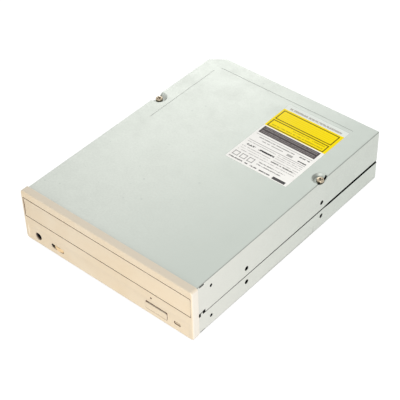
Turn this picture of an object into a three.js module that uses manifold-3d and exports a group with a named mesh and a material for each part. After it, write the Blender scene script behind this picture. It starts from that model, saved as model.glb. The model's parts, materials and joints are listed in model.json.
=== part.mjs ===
// Half-height CD-RW drive, 5.25 inch form factor. Millimetres, +Z up, front towards -Y.
// Origin: centre of the footprint, on the plane that the drive rests on.
// Inside the drive group Y starts at the rear face of the front bezel.
import * as THREE from 'three';
import { mergeVertices } from 'three/addons/utils/BufferGeometryUtils.js';
import Module from 'manifold-3d';

const wasm = await Module();
wasm.setup();

// Driving dimensions of the form factor
const body = { width: 146, height: 41.3, depth: 191.9 };
const sheet = 0.8;
const gap = 0.3;
const overrun = 1;
const half = 0.5;
const disc = { radius: 60, smallRadius: 40, centreY: 72, playing: 30.4 };
const facet = { corner: 3, tiny: 6, small: 8, round: 14, large: 24, wide: 48, shallow: 144 };

// Side of the case, and of what fits between its side walls
const bodySide = body.width * half;
const insideFace = bodySide - sheet - gap;

// Case of two shells, with mounting holes in its sides and its underside
const mountHole = { radius: 1.6, front: 47.4, rear: 126.65, low: 9.96, high: 21.84, bottomInset: 3.15 };
const seam = { frontZ: 15.6, rearZ: 15.4, frontGap: 0.5, rearGap: 2.1 };
const rearCorner = { alongX: 10.7, alongY: 8.4 };
const dish = { inset: 2.6, y: 126, radius: 5.7, depth: 2.8, slot: 0.9, tongue: 1.3, slotEnd: 5.3 };
const dishX = bodySide - dish.inset;
const panScrew = {
  head: 2.6, headHeight: 2, crownShare: 0.7, shank: 1.4, length: 5, crossWidth: 0.8, crossDepth: 1,
  crossSpan: 3.2,
};
const crease = {
  width: 0.7, depth: 0.2, inset: 12.4, front: 106, rearInset: 16.9, crossInset: 11.4, leftInset: 15,
  rightInset: 14.4,
};
const smallHole = { radius: 1, upperY: 13.2, upperZ: 34.2, lowerY: 12.7, lowerZ: 8 };
const slit = { upperFront: 2.5, upperRear: 6.6, lowerFront: 2.2, lowerRear: 6.3, height: 0.7, inset: 0.7 };
const rearLip = 2;
const dimple = { inset: 11, front: 26, rearInset: 25.9, radius: 5, depth: 1.2, hole: 1.7 };
const dimpleX = bodySide - dimple.inset;
const dimpleRear = body.depth - dimple.rearInset;
const standoff = { inset: 23, front: 56, rearInset: 9.9, radius: 3, height: 0.9 };
const sideEmboss = { front: 62, rear: 118, bottom: 0.9, top: 6.5, depth: 0.2 };

// Front bezel, a little wider and higher than the case
const bezel = {
  overhang: 1.15, above: 1, thickness: 5.7, bottom: 0.3, corner: 2, bevel: 0.9, bevelSteps: 2, plate: 2.2,
  wall: 2,
};
const bezelSide = bodySide + bezel.overhang;
const bezelTop = body.height + bezel.above;
const scoop = { bottom: 2.6, top: 14, depth: 1.1, margin: 2.6 };
const doorway = { inset: 1.4, bottom: 20.45, height: 16.4, depth: 4 };
const doorwaySide = bezelSide - doorway.inset;
const aperture = { inset: 3.55, bottom: 21.9, top: 35.8 };

// Teeth in the side walls' windows: the bezel's in the front ones, the loader frame's in the ones behind them
const latch = { thickness: 1.2, length: 3.3, bottom: 13.2, top: 19.4 };
const latchHole = { front: 4.4, rear: 7.3, bottom: 14.8, top: 17.9 };
const hookHole = { front: 1.5, rear: 3, bottom: 15.2, top: 17.5 };
const tooth = { depth: 0.75, play: 0.3 };

// Controls in the bezel
const jack = {
  inset: 11.3, z: 7.8, hole: 2.6, nose: 2.3, bore: 1.8, width: 8.6, front: 0.3, rear: 14, top: 12.2,
  noseFront: -4.6, boreDepth: 12,
};
const jackX = jack.inset - bodySide;
const slot = { inset: 29.25, z: 7.5, width: 12.5, height: 3.8 };
const slotX = slot.inset - bodySide;
const wheel = { radius: 8, axisY: 2.5, thickness: 2.8, bore: 1.8, ridges: 32, ridge: 0.35 };
const pot = { radius: 5, post: 1.5 };
const button = {
  inset: 20, width: 18.7, bottom: 4.5, top: 10.6, front: -5.6, back: -3, travel: 1, round: 0.9,
  lip: 1, lipThickness: 0.9, rod: 3, rodEnd: 5.4, playSide: 0.4, playBelow: 0.3, playAbove: 1.1,
};
const buttonRight = bodySide - button.inset;
const buttonLeft = buttonRight - button.width;
const ejectSwitch = { width: 7, depth: 4.4, height: 6.2, plunger: 1.2, plungerOut: 0.8 };
const pinhole = { fromButton: 5.3, z: 15.8, radius: 0.65 };
const lamp = {
  inset: 8.7, width: 5.3, bottom: 5.6, top: 9.2, front: -5, depth: 2.6, radius: 1.5, bodyRear: 4.5,
};
const lampRight = bodySide - lamp.inset;
const lampLeft = lampRight - lamp.width;

// Boards
const board = { thickness: 1.4, bottom: 2 };
const boardTop = board.bottom + board.thickness;
const mainBoard = { inset: 15.5, tailInset: 7, front: 50, tailLength: 17.5, rearInset: 1.4 };
const mainBoardRear = body.depth - mainBoard.rearInset;
const mainBoardTail = mainBoardRear - mainBoard.tailLength;
const frontBoard = { inset: 4.5, front: 0.8, rear: 19.5 };
const servoChip = { x: -24, y: 120, size: 20, height: 1.4 };
const decoderChip = { x: 22, y: 112, size: 24, height: 1.4 };
const bufferChip = { x: 24, y: 150, size: 14, height: 1.1 };
const ribbon = { x: -10, width: 24, thickness: 0.3, overlap: 2 };
const label = { width: 51.2, rightInset: 15, length: 70.7, rearInset: 14.9, thickness: 0.12 };

// Lifting frame and traverse, given at the level playing height
const pivot = { y: 160, z: 17, pin: 2 };
const lift = {
  angle: 4.8, half: 45, front: 47, rear: 164, innerHalf: 36, innerFront: 56, innerRear: 154, bottom: 15.5,
  plate: 2.5, rim: 2, rimHeight: 4, camPinX: 16, camPinZ: 19, camPin: 1.5, camPinLength: 6.7,
};
const pivotPost = { width: 4, depth: 10, top: 21.5, play: 3.3 };
const pivotPostX = lift.half + pivotPost.play;

// Loader frame
const frame = {
  wall: 3, front: 10, rearInset: 9.4, bottom: 12, top: 33.9, floor: 2, openPlay: 2.5, openFront: 46.5,
  openRearPlay: 1.5, rearTop: 21, portLength: 11.5, portTop: 14.9, bossHalf: 4.5, bossReach: 2.4,
  bossDepth: 4.2, earPlay: 0.4,
};
const bossTop = body.height - dish.depth - sheet - gap;
const frameInner = insideFace - frame.wall;
const frameRear = body.depth - frame.rearInset;
const deck = { front: 3, rear: 39.6, bottom: 18.3, thickness: 2, crossWall: 2 };
const rail = { reach: 3.3, bottom: 21.2, thickness: 2, holdReach: 2.4, holdThickness: 1.6, holdLength: 16 };
const holdDownShares = [0.05, 0.3, 0.6, 0.9];
const foot = { radius: 4 };
const slide = { lane: 0.4, ledge: 1, lip: 1.8, lipHeight: 1.7 };

// Tray, between the runners' grooves of the loader frame
const tray = {
  front: -1.6, rearPlay: 3.5, top: 31.2, floorTop: 28.2, floor: 1.8, recessPlay: 0.4, smallDepth: 0.9,
  side: 2, sideBottom: 23.5, runner: 3.6, runnerThickness: 1.7, windowHalf: 19, windowFront: 53,
  windowRear: 133, rearRoof: 1.6, frontWall: 1.8,
};
const trayHalf = frameInner - gap - tray.runner;
const trayRear = frameRear - frame.wall - tray.rearPlay;
const door = {
  play: 0.45, thickness: 3.7, scoopDepth: 0.5, scoopMargin: 0.8, lugInset: 22, lugWidth: 6, lugHeight: 1.4,
  lugLength: 4.4,
};
const lugX = trayHalf - door.lugInset;

// Loading drive, gears of one module
const gear = { module: 1, pressure: 20, addendum: 0.78, dedendum: 1.1, backlash: 0.3 };
const train = { y: 15, rackInset: 9, trayTeeth: 24, smallTeeth: 12, idlerTeeth: 28 };
const layer = { low: 20.6, lowTop: 22.6, high: 23, highTop: 26 };
const post = { radius: 1.4, top: 25.8, play: 0.3, hub: 1 };
const rack = { back: 3.6, bottom: 22.8, front: 8, rearInset: 12 };
const pulley = {
  radius: 12.2, groove: 11, motorRadius: 3.8, motorGroove: 2.7, spacing: 32, flange: 0.4, taper: 0.2,
};
const belt = { width: 1.1, height: 1.1 };
const motor = { radius: 10, flat: 7.6, height: 13.8, boss: 3, bossHeight: 1.2, shaft: 1 };

// Cam slider
const cam = {
  left: -40, rightInset: 24.9, front: 40, thickness: 3, bottom: 5.6, top: 22.2, travel: 18, slotPlay: 0.4,
  pinInset: 6, pin: 2, pinTop: 26, groovePlay: 0.5, rib: 1.2, ribBottom: 24.5,
};
const camRight = frameInner - cam.rightInset;
const camPinX = camRight - cam.pinInset;
const camMiddle = cam.front + cam.thickness * half;

const chassis = {
  half: 38, front: 54, rear: 156, bottom: 20.2, thickness: 1.2, ear: 4.4, openLeft: -34.8, openRight: 28,
  openFront: 87.6, openRear: 152, motorHole: 13.6, feedSlotRight: -24.2, feedSlotFront: 73.6, tabWidth: 8,
  tabHeight: 4.6,
};
const damper = { x: 40.5, frontY: 51.5, rearY: 150, radius: 4, waist: 2.6, height: 4.4, bore: 1.6 };
const damperScrew = { head: 3.2, headHeight: 1, shank: 1.3 };
const rod = { x: 22.5, z: 23.4, radius: 1.5, front: 84.8, rear: 154.6 };
const spindle = {
  base: 1, baseBottom: 17.6, baseHalf: 16, baseFront: 58.5, baseRear: 85.5, bush: 3.5, bushTop: 21.5,
  shaft: 1.2, canRadius: 12.5, canBottom: 21.9, canTop: 26.9, tableRadius: 14.5, tableBottom: 27.2,
  tableTop: 29.5, padInner: 11, coneRadius: 7.3, coneTopRadius: 4.6, coneTop: 32.8, shaftTop: 31.6, leg: 2,
};
const feed = {
  x: -29.5, z: 20.5, radius: 5, front: 73.9, rear: 86, screw: 1.5, root: 1.1, lead: 3, screwRear: 151.7,
  rowsPerTurn: 2, sides: 6,
};
const pickup = {
  half: 18.4, front: 88, length: 28, bottom: 14.5, top: 25.6, bearing: 3, bearingLength: 8,
  bearingBottom: 20.9, forkLength: 8, fork: 1, lensY: 96, followerFront: 98, followerLength: 8,
  followerBottom: 17, followerReach: 31, well: 3,
};
const lens = {
  holderHalf: 6, holderBottom: 25.9, holderTop: 27.9, bore: 2.6, radius: 2.3, bottom: 26.3, top: 28.4,
  rim: 27.6, crownShare: 0.7,
};

// Clamp above the disc
const bridge = { front: 53, rear: 91, thickness: 1, flange: 2, hole: 14 };
const puck = {
  bottom: 33, hub: 13, flange: 17, flangeThickness: 1.3, recess: 8.4, recessDepth: 2.4, rim: 12, rimWall: 1,
  top: 38.2, yokeDepth: 1.2,
};

// Rear connectors in a row, which share out the room that their widths leave
const portInset = 0.4;
const portRear = body.depth - portInset;
const dataPort = {
  width: 58.4, height: 9.2, depth: 9.5, wall: 1.3, floor: 2, pins: 20, pitch: 2.54, pin: 0.64, pinOut: 6,
};
const powerPort = {
  width: 22, height: 11, depth: 15.5, wall: 1.1, floor: 2, pins: 4, pitch: 5.08, pinRadius: 1.05, pinOut: 7.6,
  chamfer: 2.4,
};
const audioPort = {
  width: 12.6, height: 6.6, depth: 9, wall: 0.9, floor: 2, pins: 4, pitch: 2.54, pin: 0.64, pinOut: 5,
};
const digitalPort = {
  width: 7.6, height: 6.6, depth: 9, wall: 0.9, floor: 2, pins: 2, pitch: 2.54, pin: 0.64, pinOut: 5,
};
const jumperPort = { columns: 5, rows: 2, width: 12.7, height: 5.08, base: 2.5, pin: 0.64, pinOut: 6 };
const portRow = [powerPort, dataPort, jumperPort, audioPort, digitalPort];
const portGapShares = [0.28, 0.14, 0.19, 0.075, 0.06];
const portRoom = 2 * (bodySide - sheet);
const portSpare = portRoom - portRow.reduce((sum, port) => sum + port.width, 0);
let portEdge = -portRoom * half;
portRow.forEach((port, i) => {
  port.x = portEdge + portGapShares[i] * portSpare + port.width * half;
  portEdge = port.x + port.width * half;
});

// Mesh helpers
const mergeTolerance = 1e-5;
const flatness = 0.001;

function solid(geometry) {
  const bare = new THREE.BufferGeometry();
  bare.setAttribute('position', geometry.attributes.position);
  bare.setIndex(geometry.index);
  const merged = mergeVertices(bare, mergeTolerance);
  const position = merged.attributes.position.array;
  const index = Array.from(merged.index.array);
  const triangles = [];
  let volume = 0;
  const corner = [new THREE.Vector3(), new THREE.Vector3(), new THREE.Vector3()];
  for (let i = 0; i < index.length; i += 3) {
    const [a, b, c] = index.slice(i, i + 3);
    if (a !== b && b !== c && c !== a) {
      triangles.push([a, b, c]);
      corner[0].fromArray(position, a * 3);
      corner[1].fromArray(position, b * 3);
      corner[2].fromArray(position, c * 3);
      volume += corner[0].dot(corner[1].cross(corner[2]));
    }
  }
  if (volume < 0) {
    triangles.forEach((triangle) => triangle.reverse());
  }
  const triVerts = new Uint32Array(triangles.flat());
  const vertProperties = new Float32Array(position);
  return new wasm.Manifold(new wasm.Mesh({ numProp: 3, vertProperties, triVerts }));
}

function geometryOf(shape) {
  const mesh = shape.simplify(flatness).getMesh();
  const geometry = new THREE.BufferGeometry();
  geometry.setAttribute('position', new THREE.BufferAttribute(new Float32Array(mesh.vertProperties), 3));
  geometry.setIndex(new THREE.BufferAttribute(new Uint32Array(mesh.triVerts), 1));
  geometry.computeVertexNormals();
  return geometry;
}

function join(first, ...others) {
  return others.flat().reduce((sum, shape) => sum.add(shape), first);
}

function cut(first, ...others) {
  return others.flat().reduce((rest, shape) => rest.subtract(shape), first);
}

function block([x0, x1], [y0, y1], [z0, z1]) {
  const geometry = new THREE.BoxGeometry(x1 - x0, y1 - y0, z1 - z0);
  geometry.translate((x0 + x1) * half, (y0 + y1) * half, (z0 + z1) * half);
  return solid(geometry);
}

function extruded(outline, depth, curveSegments) {
  return new THREE.ExtrudeGeometry(outline, { depth, bevelEnabled: false, curveSegments });
}

// An outline in X and Y raised from z0 to z1
function raise(outline, z0, z1, steps = facet.small) {
  const geometry = extruded(outline, z1 - z0, steps);
  geometry.translate(0, 0, z0);
  return solid(geometry);
}

// An outline in X and Z carried along Y
function carryY(outline, y0, y1, steps = facet.small) {
  const geometry = extruded(outline, y1 - y0, steps);
  geometry.rotateX(Math.PI / 2);
  geometry.translate(0, y1, 0);
  return solid(geometry);
}

// An outline in Y and Z carried along X
function carryX(outline, x0, x1, steps = facet.small) {
  const geometry = extruded(outline, x1 - x0, steps);
  geometry.rotateX(Math.PI / 2);
  geometry.rotateZ(Math.PI / 2);
  geometry.translate(x0, 0, 0);
  return solid(geometry);
}

function polygon(points) {
  return new THREE.Shape(points.map(([a, b]) => new THREE.Vector2(a, b)));
}

function roundedOutline([x0, x1], [y0, y1], radius) {
  const shape = new THREE.Shape();
  shape.moveTo(x0 + radius, y0);
  shape.lineTo(x1 - radius, y0);
  shape.absarc(x1 - radius, y0 + radius, radius, -Math.PI / 2, 0);
  shape.lineTo(x1, y1 - radius);
  shape.absarc(x1 - radius, y1 - radius, radius, 0, Math.PI / 2);
  shape.lineTo(x0 + radius, y1);
  shape.absarc(x0 + radius, y1 - radius, radius, Math.PI / 2, Math.PI);
  shape.lineTo(x0, y0 + radius);
  shape.absarc(x0 + radius, y0 + radius, radius, Math.PI, Math.PI * 1.5);
  return shape;
}

function columnZ(x, y, radius, z0, z1, sides = facet.small) {
  const geometry = new THREE.CylinderGeometry(radius, radius, z1 - z0, sides);
  geometry.rotateX(Math.PI / 2);
  geometry.translate(x, y, (z0 + z1) * half);
  return solid(geometry);
}

function columnY(x, z, radius, y0, y1, sides = facet.small) {
  const geometry = new THREE.CylinderGeometry(radius, radius, y1 - y0, sides);
  geometry.translate(x, (y0 + y1) * half, z);
  return solid(geometry);
}

function columnX(y, z, radius, x0, x1, sides = facet.small) {
  const geometry = new THREE.CylinderGeometry(radius, radius, x1 - x0, sides);
  geometry.rotateZ(Math.PI / 2);
  geometry.translate((x0 + x1) * half, y, z);
  return solid(geometry);
}

// A profile of radius and height turned about an upright axis at x, y
function turned(profile, x, y, sides = facet.round) {
  const points = profile.map(([radius, z]) => new THREE.Vector2(radius, z));
  points.push(points[0].clone());
  const geometry = new THREE.LatheGeometry(points, sides);
  geometry.rotateX(Math.PI / 2);
  geometry.translate(x, y, 0);
  return solid(geometry);
}

function both(make) {
  return [make(1), make(-1)];
}

// A range on one side of the middle, turned over for the other side
function sided(side, near, far) {
  return side > 0 ? [near, far] : [-far, -near];
}

const materials = {
  galvanised: { color: 0xd3dad3, roughness: 0.45, metalness: 0.8 },
  bezel: { color: 0xecdcc4, roughness: 0.55, metalness: 0 },
  blackPlastic: { color: 0x1c1c1e, roughness: 0.6, metalness: 0 },
  greyPlastic: { color: 0x55585a, roughness: 0.6, metalness: 0 },
  whitePlastic: { color: 0xe6e2d6, roughness: 0.5, metalness: 0 },
  steel: { color: 0xb9bcc0, roughness: 0.3, metalness: 1 },
  brass: { color: 0xc9a94e, roughness: 0.35, metalness: 1 },
  rubber: { color: 0x202020, roughness: 0.9, metalness: 0 },
  board: { color: 0x1f5a34, roughness: 0.5, metalness: 0 },
  chip: { color: 0x242426, roughness: 0.6, metalness: 0 },
  lens: { color: 0x9fb4d8, roughness: 0.05, metalness: 0 },
  lampWindow: { color: 0x6e5f50, roughness: 0.25, metalness: 0 },
  ribbon: { color: 0xd9d6cc, roughness: 0.5, metalness: 0 },
  paper: { color: 0xf0f0ea, roughness: 0.6, metalness: 0 },
};

const drive = new THREE.Group();
const tilted = new THREE.Group();
const level = new THREE.Group();

function add(name, shape, material, parent = drive) {
  const mesh = new THREE.Mesh(geometryOf(shape), new THREE.MeshStandardMaterial(materials[material]));
  mesh.material.flatShading = true;
  mesh.name = name;
  parent.add(mesh);
}

// Both shells have one plan: a rectangle with its rear left corner cut off
function shellPlan(inset) {
  const side = bodySide - inset;
  const rear = body.depth - inset;
  const slope = Math.hypot(rearCorner.alongX, rearCorner.alongY);
  const shrink = inset * (slope - rearCorner.alongX - rearCorner.alongY);
  const alongX = rearCorner.alongX + shrink / rearCorner.alongY;
  const alongY = rearCorner.alongY + shrink / rearCorner.alongX;
  const front = inset > 0 ? -overrun : 0;
  return polygon([
    [-side, front], [side, front], [side, rear], [alongX - side, rear], [-side, rear - alongY],
  ]);
}

// The seam runs level at the front and opens a little towards the rear
function seamEdge(share) {
  return [
    [-overrun, seam.frontZ + seam.frontGap * share],
    [body.depth + overrun, seam.rearZ + seam.rearGap * share],
  ];
}

function flangeHoles(side, z, holeY, holeZ) {
  const outer = sided(side, bodySide - sheet - overrun, bodySide + overrun);
  return [
    columnX(mountHole.front, z, mountHole.radius, ...outer),
    columnX(mountHole.rear, z, mountHole.radius, ...outer),
    columnX(holeY, holeZ, smallHole.radius, ...outer, facet.tiny),
    block(outer, [latchHole.front, latchHole.rear], [latchHole.bottom, latchHole.top]),
    block(outer, [hookHole.front, hookHole.rear], [hookHole.bottom, hookHole.top]),
  ];
}

// The dish meets the side wall at a narrow tongue, with a slot on each side of it
function dishSlots(turn, floor) {
  const x = sided(turn, bodySide - sheet - dish.slot, bodySide - sheet);
  const z = [floor - sheet - overrun, floor + overrun];
  return [
    block(x, [dish.y + dish.tongue, dish.y + dish.slotEnd], z),
    block(x, [dish.y - dish.slotEnd, dish.y - dish.tongue], z),
  ];
}

function topCover() {
  const [frontEdge, rearEdge] = seamEdge(half);
  const below = polygon([frontEdge, rearEdge, [rearEdge[0], -overrun], [frontEdge[0], -overrun]]);
  let shell = raise(shellPlan(0), 0, body.height);
  shell = cut(shell, raise(shellPlan(sheet), -overrun, body.height - sheet));
  shell = cut(shell, carryX(below, -bodySide - overrun, bodySide + overrun));
  const floor = body.height - dish.depth;
  for (const turn of [1, -1]) {
    const outer = sided(turn, bodySide - sheet - overrun, bodySide + overrun);
    shell = cut(shell, flangeHoles(turn, mountHole.high, smallHole.upperY, smallHole.upperZ));
    const slitTop = body.height - slit.inset;
    shell = cut(shell, block(outer, [slit.upperFront, slit.upperRear], [slitTop - slit.height, slitTop]));
    shell = cut(shell, columnZ(turn * dishX, dish.y, dish.radius, floor, body.height + overrun, facet.round));
    const cupTop = body.height - sheet;
    const cup = columnZ(turn * dishX, dish.y, dish.radius + sheet, floor - sheet, cupTop, facet.round);
    const cupInside = columnZ(turn * dishX, dish.y, dish.radius, floor, body.height, facet.round);
    const inward = block(sided(turn, 0, bodySide), [0, body.depth], [0, body.height]);
    const screwHole = columnZ(turn * dishX, dish.y, panScrew.shank + gap, 0, body.height);
    shell = cut(join(shell, cut(cup, cupInside).intersect(inward)), screwHole, dishSlots(turn, floor));
  }
  const creaseFloor = body.height - crease.depth;
  const creaseTop = body.height + overrun;
  const across = crease.width * half;
  const alongX = crease.inset - bodySide;
  const crossY = body.depth - crease.crossInset;
  return cut(
    shell,
    block(
      [alongX - across, alongX + across], [crease.front, body.depth - crease.rearInset],
      [creaseFloor, creaseTop],
    ),
    block(
      [crease.leftInset - bodySide, bodySide - crease.rightInset], [crossY - across, crossY + across],
      [creaseFloor, creaseTop],
    ),
  );
}

function bottomCover() {
  const [frontEdge, rearEdge] = seamEdge(-half);
  const top = body.height + overrun;
  const above = polygon([frontEdge, rearEdge, [rearEdge[0], top], [frontEdge[0], top]]);
  let shell = raise(shellPlan(0), 0, body.height);
  shell = cut(shell, raise(shellPlan(sheet), sheet, top));
  shell = cut(shell, carryX(above, -bodySide - overrun, bodySide + overrun));
  const inside = bodySide - sheet;
  shell = cut(shell, block([-inside, inside], [mainBoardTail, body.depth + overrun], [rearLip, top]));
  for (const turn of [1, -1]) {
    const outer = sided(turn, bodySide - sheet - overrun, bodySide + overrun);
    shell = cut(shell, flangeHoles(turn, mountHole.low, smallHole.lowerY, smallHole.lowerZ));
    const emboss = sided(turn, bodySide - sideEmboss.depth, bodySide + overrun);
    shell = cut(
      shell,
      block(outer, [slit.lowerFront, slit.lowerRear], [slit.inset, slit.inset + slit.height]),
      block(emboss, [sideEmboss.front, sideEmboss.rear], [sideEmboss.bottom, sideEmboss.top]),
    );
    for (const y of [mountHole.front, mountHole.rear]) {
      const holeX = turn * (bodySide - mountHole.bottomInset);
      shell = cut(shell, columnZ(holeX, y, mountHole.radius, -overrun, sheet + overrun));
    }
    for (const y of [dimple.front, dimpleRear]) {
      const x = turn * dimpleX;
      shell = cut(shell, columnZ(x, y, dimple.radius, -overrun, dimple.depth, facet.round));
      const cup = columnZ(x, y, dimple.radius + sheet, 0, dimple.depth + sheet, facet.round);
      const bowl = columnZ(x, y, dimple.radius, -overrun, dimple.depth, facet.round);
      const hole = columnZ(x, y, dimple.hole, -overrun, dimple.depth + sheet + overrun);
      shell = cut(join(shell, cut(cup, bowl)), hole);
    }
    for (const y of [standoff.front, body.depth - standoff.rearInset]) {
      const standoffX = turn * (bodySide - standoff.inset);
      shell = join(shell, columnZ(standoffX, y, standoff.radius, sheet * half, sheet + standoff.height));
    }
  }
  return shell;
}

function bezelPiece() {
  const straight = roundedOutline([-bezelSide, bezelSide], [bezel.bottom, bezelTop], bezel.corner);
  const innerSide = bezelSide - bezel.bevel;
  const inner = roundedOutline(
    [-innerSide, innerSide], [bezel.bottom + bezel.bevel, bezelTop - bezel.bevel],
    bezel.corner - bezel.bevel,
  );
  const nose = new THREE.ExtrudeGeometry(inner, {
    depth: bezel.thickness - 2 * bezel.bevel, bevelThickness: bezel.bevel, bevelSize: bezel.bevel,
    bevelSegments: bezel.bevelSteps, curveSegments: facet.corner,
  });
  nose.rotateX(Math.PI / 2);
  nose.translate(0, -bezel.bevel, 0);
  let shape = join(solid(nose), carryY(straight, -bezel.thickness * half, 0, facet.corner));
  const halfChord = (scoop.top - scoop.bottom) * half;
  const radius = (halfChord ** 2 + scoop.depth ** 2) / (2 * scoop.depth);
  const scoopSide = bezelSide - scoop.margin;
  const scoopY = -bezel.thickness - radius + scoop.depth;
  shape = cut(
    shape, columnX(scoopY, scoop.bottom + halfChord, radius, -scoopSide, scoopSide, facet.wide),
  );
  const apertureSide = doorwaySide - aperture.inset;
  const out = -bezel.thickness - overrun;
  const inside = -bezel.thickness + bezel.plate;
  const pocketSide = bezelSide - bezel.wall;
  const pocketTop = doorway.bottom - bezel.wall;
  const slotHalf = slot.height * half;
  const slotOutline = roundedOutline(
    [slotX - slot.width * half, slotX + slot.width * half], [slot.z - slotHalf, slot.z + slotHalf],
    slotHalf - gap,
  );
  shape = cut(
    shape,
    block(
      [-doorwaySide, doorwaySide], [out, doorway.depth - bezel.thickness],
      [doorway.bottom, doorway.bottom + doorway.height],
    ),
    block([-apertureSide, apertureSide], [out, overrun], [aperture.bottom, aperture.top]),
    block([-pocketSide, pocketSide], [inside, overrun], [bezel.bottom + bezel.wall, pocketTop]),
    columnY(jackX, jack.z, jack.hole, out, overrun, facet.round),
    columnY(buttonLeft + pinhole.fromButton, pinhole.z, pinhole.radius, out, overrun, facet.tiny),
    block(
      [buttonLeft - button.playSide, buttonRight + button.playSide], [out, overrun],
      [button.bottom - button.playBelow, button.top + button.playAbove],
    ),
    block([lampLeft - gap, lampRight + gap], [out, overrun], [lamp.bottom - gap, lamp.top + gap]),
    carryY(slotOutline, out, overrun),
  );
  return join(shape, both((turn) => latchArm(turn, -bezel.wall, latch.length, hookHole)));
}

// An arm along the side wall whose tooth stands in one of the wall's windows
function latchArm(turn, front, rear, hole) {
  const face = insideFace - latch.thickness;
  const arm = block(sided(turn, face, insideFace), [front, rear], [latch.bottom, latch.top]);
  const catchTooth = block(
    sided(turn, face, insideFace + tooth.depth),
    [hole.front + tooth.play, hole.rear - tooth.play],
    [hole.bottom + tooth.play, hole.top - tooth.play],
  );
  return join(arm, catchTooth);
}

function trayDoor() {
  const side = doorwaySide - door.play;
  const bottom = doorway.bottom + door.play;
  const top = doorway.bottom + doorway.height - door.play;
  const front = -bezel.thickness;
  const back = front + door.thickness;
  const panel = block([-side, side], [front, back], [bottom, top]);
  const halfChord = (top - bottom) * half - door.scoopMargin;
  const radius = (halfChord ** 2 + door.scoopDepth ** 2) / (2 * door.scoopDepth);
  const middle = (top + bottom) * half;
  const axisY = front - radius + door.scoopDepth;
  const hollowed = cut(panel, columnX(axisY, middle, radius, -side - overrun, side + overrun, facet.shallow));
  const lugZ = tray.floorTop + gap;
  return join(hollowed, both((turn) => block(
    [turn * lugX - door.lugWidth * half, turn * lugX + door.lugWidth * half],
    [back - gap, back + door.lugLength], [lugZ, lugZ + door.lugHeight],
  )));
}

function toothRadii(pitchRadius) {
  return {
    root: pitchRadius - gear.dedendum * gear.module,
    tip: pitchRadius + gear.addendum * gear.module,
    base: pitchRadius * Math.cos(THREE.MathUtils.degToRad(gear.pressure)),
  };
}

function involute(angle) {
  return Math.tan(angle) - angle;
}

// Each flank runs straight from the root to the tip of its involute
function gearOutline(teeth, phase) {
  const pitchRadius = teeth * gear.module * half;
  const { root, tip, base } = toothRadii(pitchRadius);
  const pressure = THREE.MathUtils.degToRad(gear.pressure);
  const pitchHalf = Math.PI * half / teeth - gear.backlash * half / (2 * pitchRadius);
  const halfAngle = (radius) => {
    const at = Math.acos(Math.min(1, base / Math.max(radius, base)));
    return pitchHalf + involute(pressure) - involute(at);
  };
  const radii = [root, tip];
  const points = [];
  for (let i = 0; i < teeth; i += 1) {
    const centre = phase + i * 2 * Math.PI / teeth;
    const place = (radius, angle) => [radius * Math.cos(angle), radius * Math.sin(angle)];
    points.push(...radii.map((radius) => place(radius, centre - halfAngle(radius))));
    points.push(...radii.slice().reverse().map((radius) => place(radius, centre + halfAngle(radius))));
  }
  return polygon(points);
}

function gearDisc(teeth, phase, x, z0, z1) {
  return raise(gearOutline(teeth, phase), z0, z1).translate([x, train.y, 0]);
}

const rackX = train.rackInset - trayHalf;
const trayGearX = rackX + train.trayTeeth * gear.module * half;
const idlerX = trayGearX + (train.trayTeeth + train.smallTeeth) * gear.module * half;
const pulleyX = idlerX + (train.idlerTeeth + train.smallTeeth) * gear.module * half;
const motorX = pulleyX + pulley.spacing;

function postHole(x) {
  return columnZ(x, train.y, post.radius + post.play, layer.low - overrun, layer.highTop + overrun);
}

function trayDriveGear() {
  const disk = gearDisc(train.trayTeeth, 0, trayGearX, layer.high, layer.highTop);
  const hub = columnZ(trayGearX, train.y, post.radius + post.hub, layer.low, layer.high + gap);
  return cut(join(disk, hub), postHole(trayGearX));
}

function idlerGear() {
  const pinionPhase = Math.PI / train.smallTeeth;
  const big = gearDisc(train.idlerTeeth, 0, idlerX, layer.low, layer.lowTop);
  const small = gearDisc(train.smallTeeth, pinionPhase, idlerX, layer.lowTop - gap, layer.highTop);
  return cut(join(big, small), postHole(idlerX));
}

function pulleyGear() {
  const pinionPhase = Math.PI / train.smallTeeth;
  const pinion = gearDisc(train.smallTeeth, pinionPhase, pulleyX, layer.low, layer.high + gap);
  const rim = layer.highTop - pulley.flange;
  const wheelProfile = [
    [0, layer.high], [pulley.radius, layer.high], [pulley.radius, layer.high + pulley.flange],
    [pulley.groove, layer.high + pulley.flange + pulley.taper], [pulley.groove, rim - pulley.taper],
    [pulley.radius, rim], [pulley.radius, layer.highTop], [0, layer.highTop],
  ];
  return cut(join(pinion, turned(wheelProfile, pulleyX, train.y, facet.large)), postHole(pulleyX));
}

function motorPulley() {
  const rim = layer.highTop - pulley.flange;
  const profile = [
    [motor.shaft + gap, layer.high], [pulley.motorRadius, layer.high],
    [pulley.motorRadius, layer.high + pulley.flange],
    [pulley.motorGroove, layer.high + pulley.flange + pulley.taper], [pulley.motorGroove, rim - pulley.taper],
    [pulley.motorRadius, rim], [pulley.motorRadius, layer.highTop], [motor.shaft + gap, layer.highTop],
  ];
  return turned(profile, motorX, train.y, facet.round);
}

// The belt runs on two pulleys of unequal size, so its straight runs lean by a small angle
function beltOutline(big, small) {
  const lean = Math.acos((big - small) / pulley.spacing);
  const shape = new THREE.Shape();
  shape.absarc(pulleyX, train.y, big, lean, 2 * Math.PI - lean);
  shape.absarc(motorX, train.y, small, -lean, lean);
  return shape;
}

function loadingBelt() {
  const middle = (layer.high + layer.highTop) * half;
  const inner = pulley.groove + gap;
  const innerSmall = pulley.motorGroove + gap;
  const ring = beltOutline(inner + belt.width, innerSmall + belt.width);
  const bottom = middle - belt.height * half;
  const outer = raise(ring, bottom, bottom + belt.height, facet.small);
  const hollow = beltOutline(inner, innerSmall);
  return cut(outer, raise(hollow, bottom - overrun, bottom + belt.height + overrun, facet.small));
}

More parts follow.
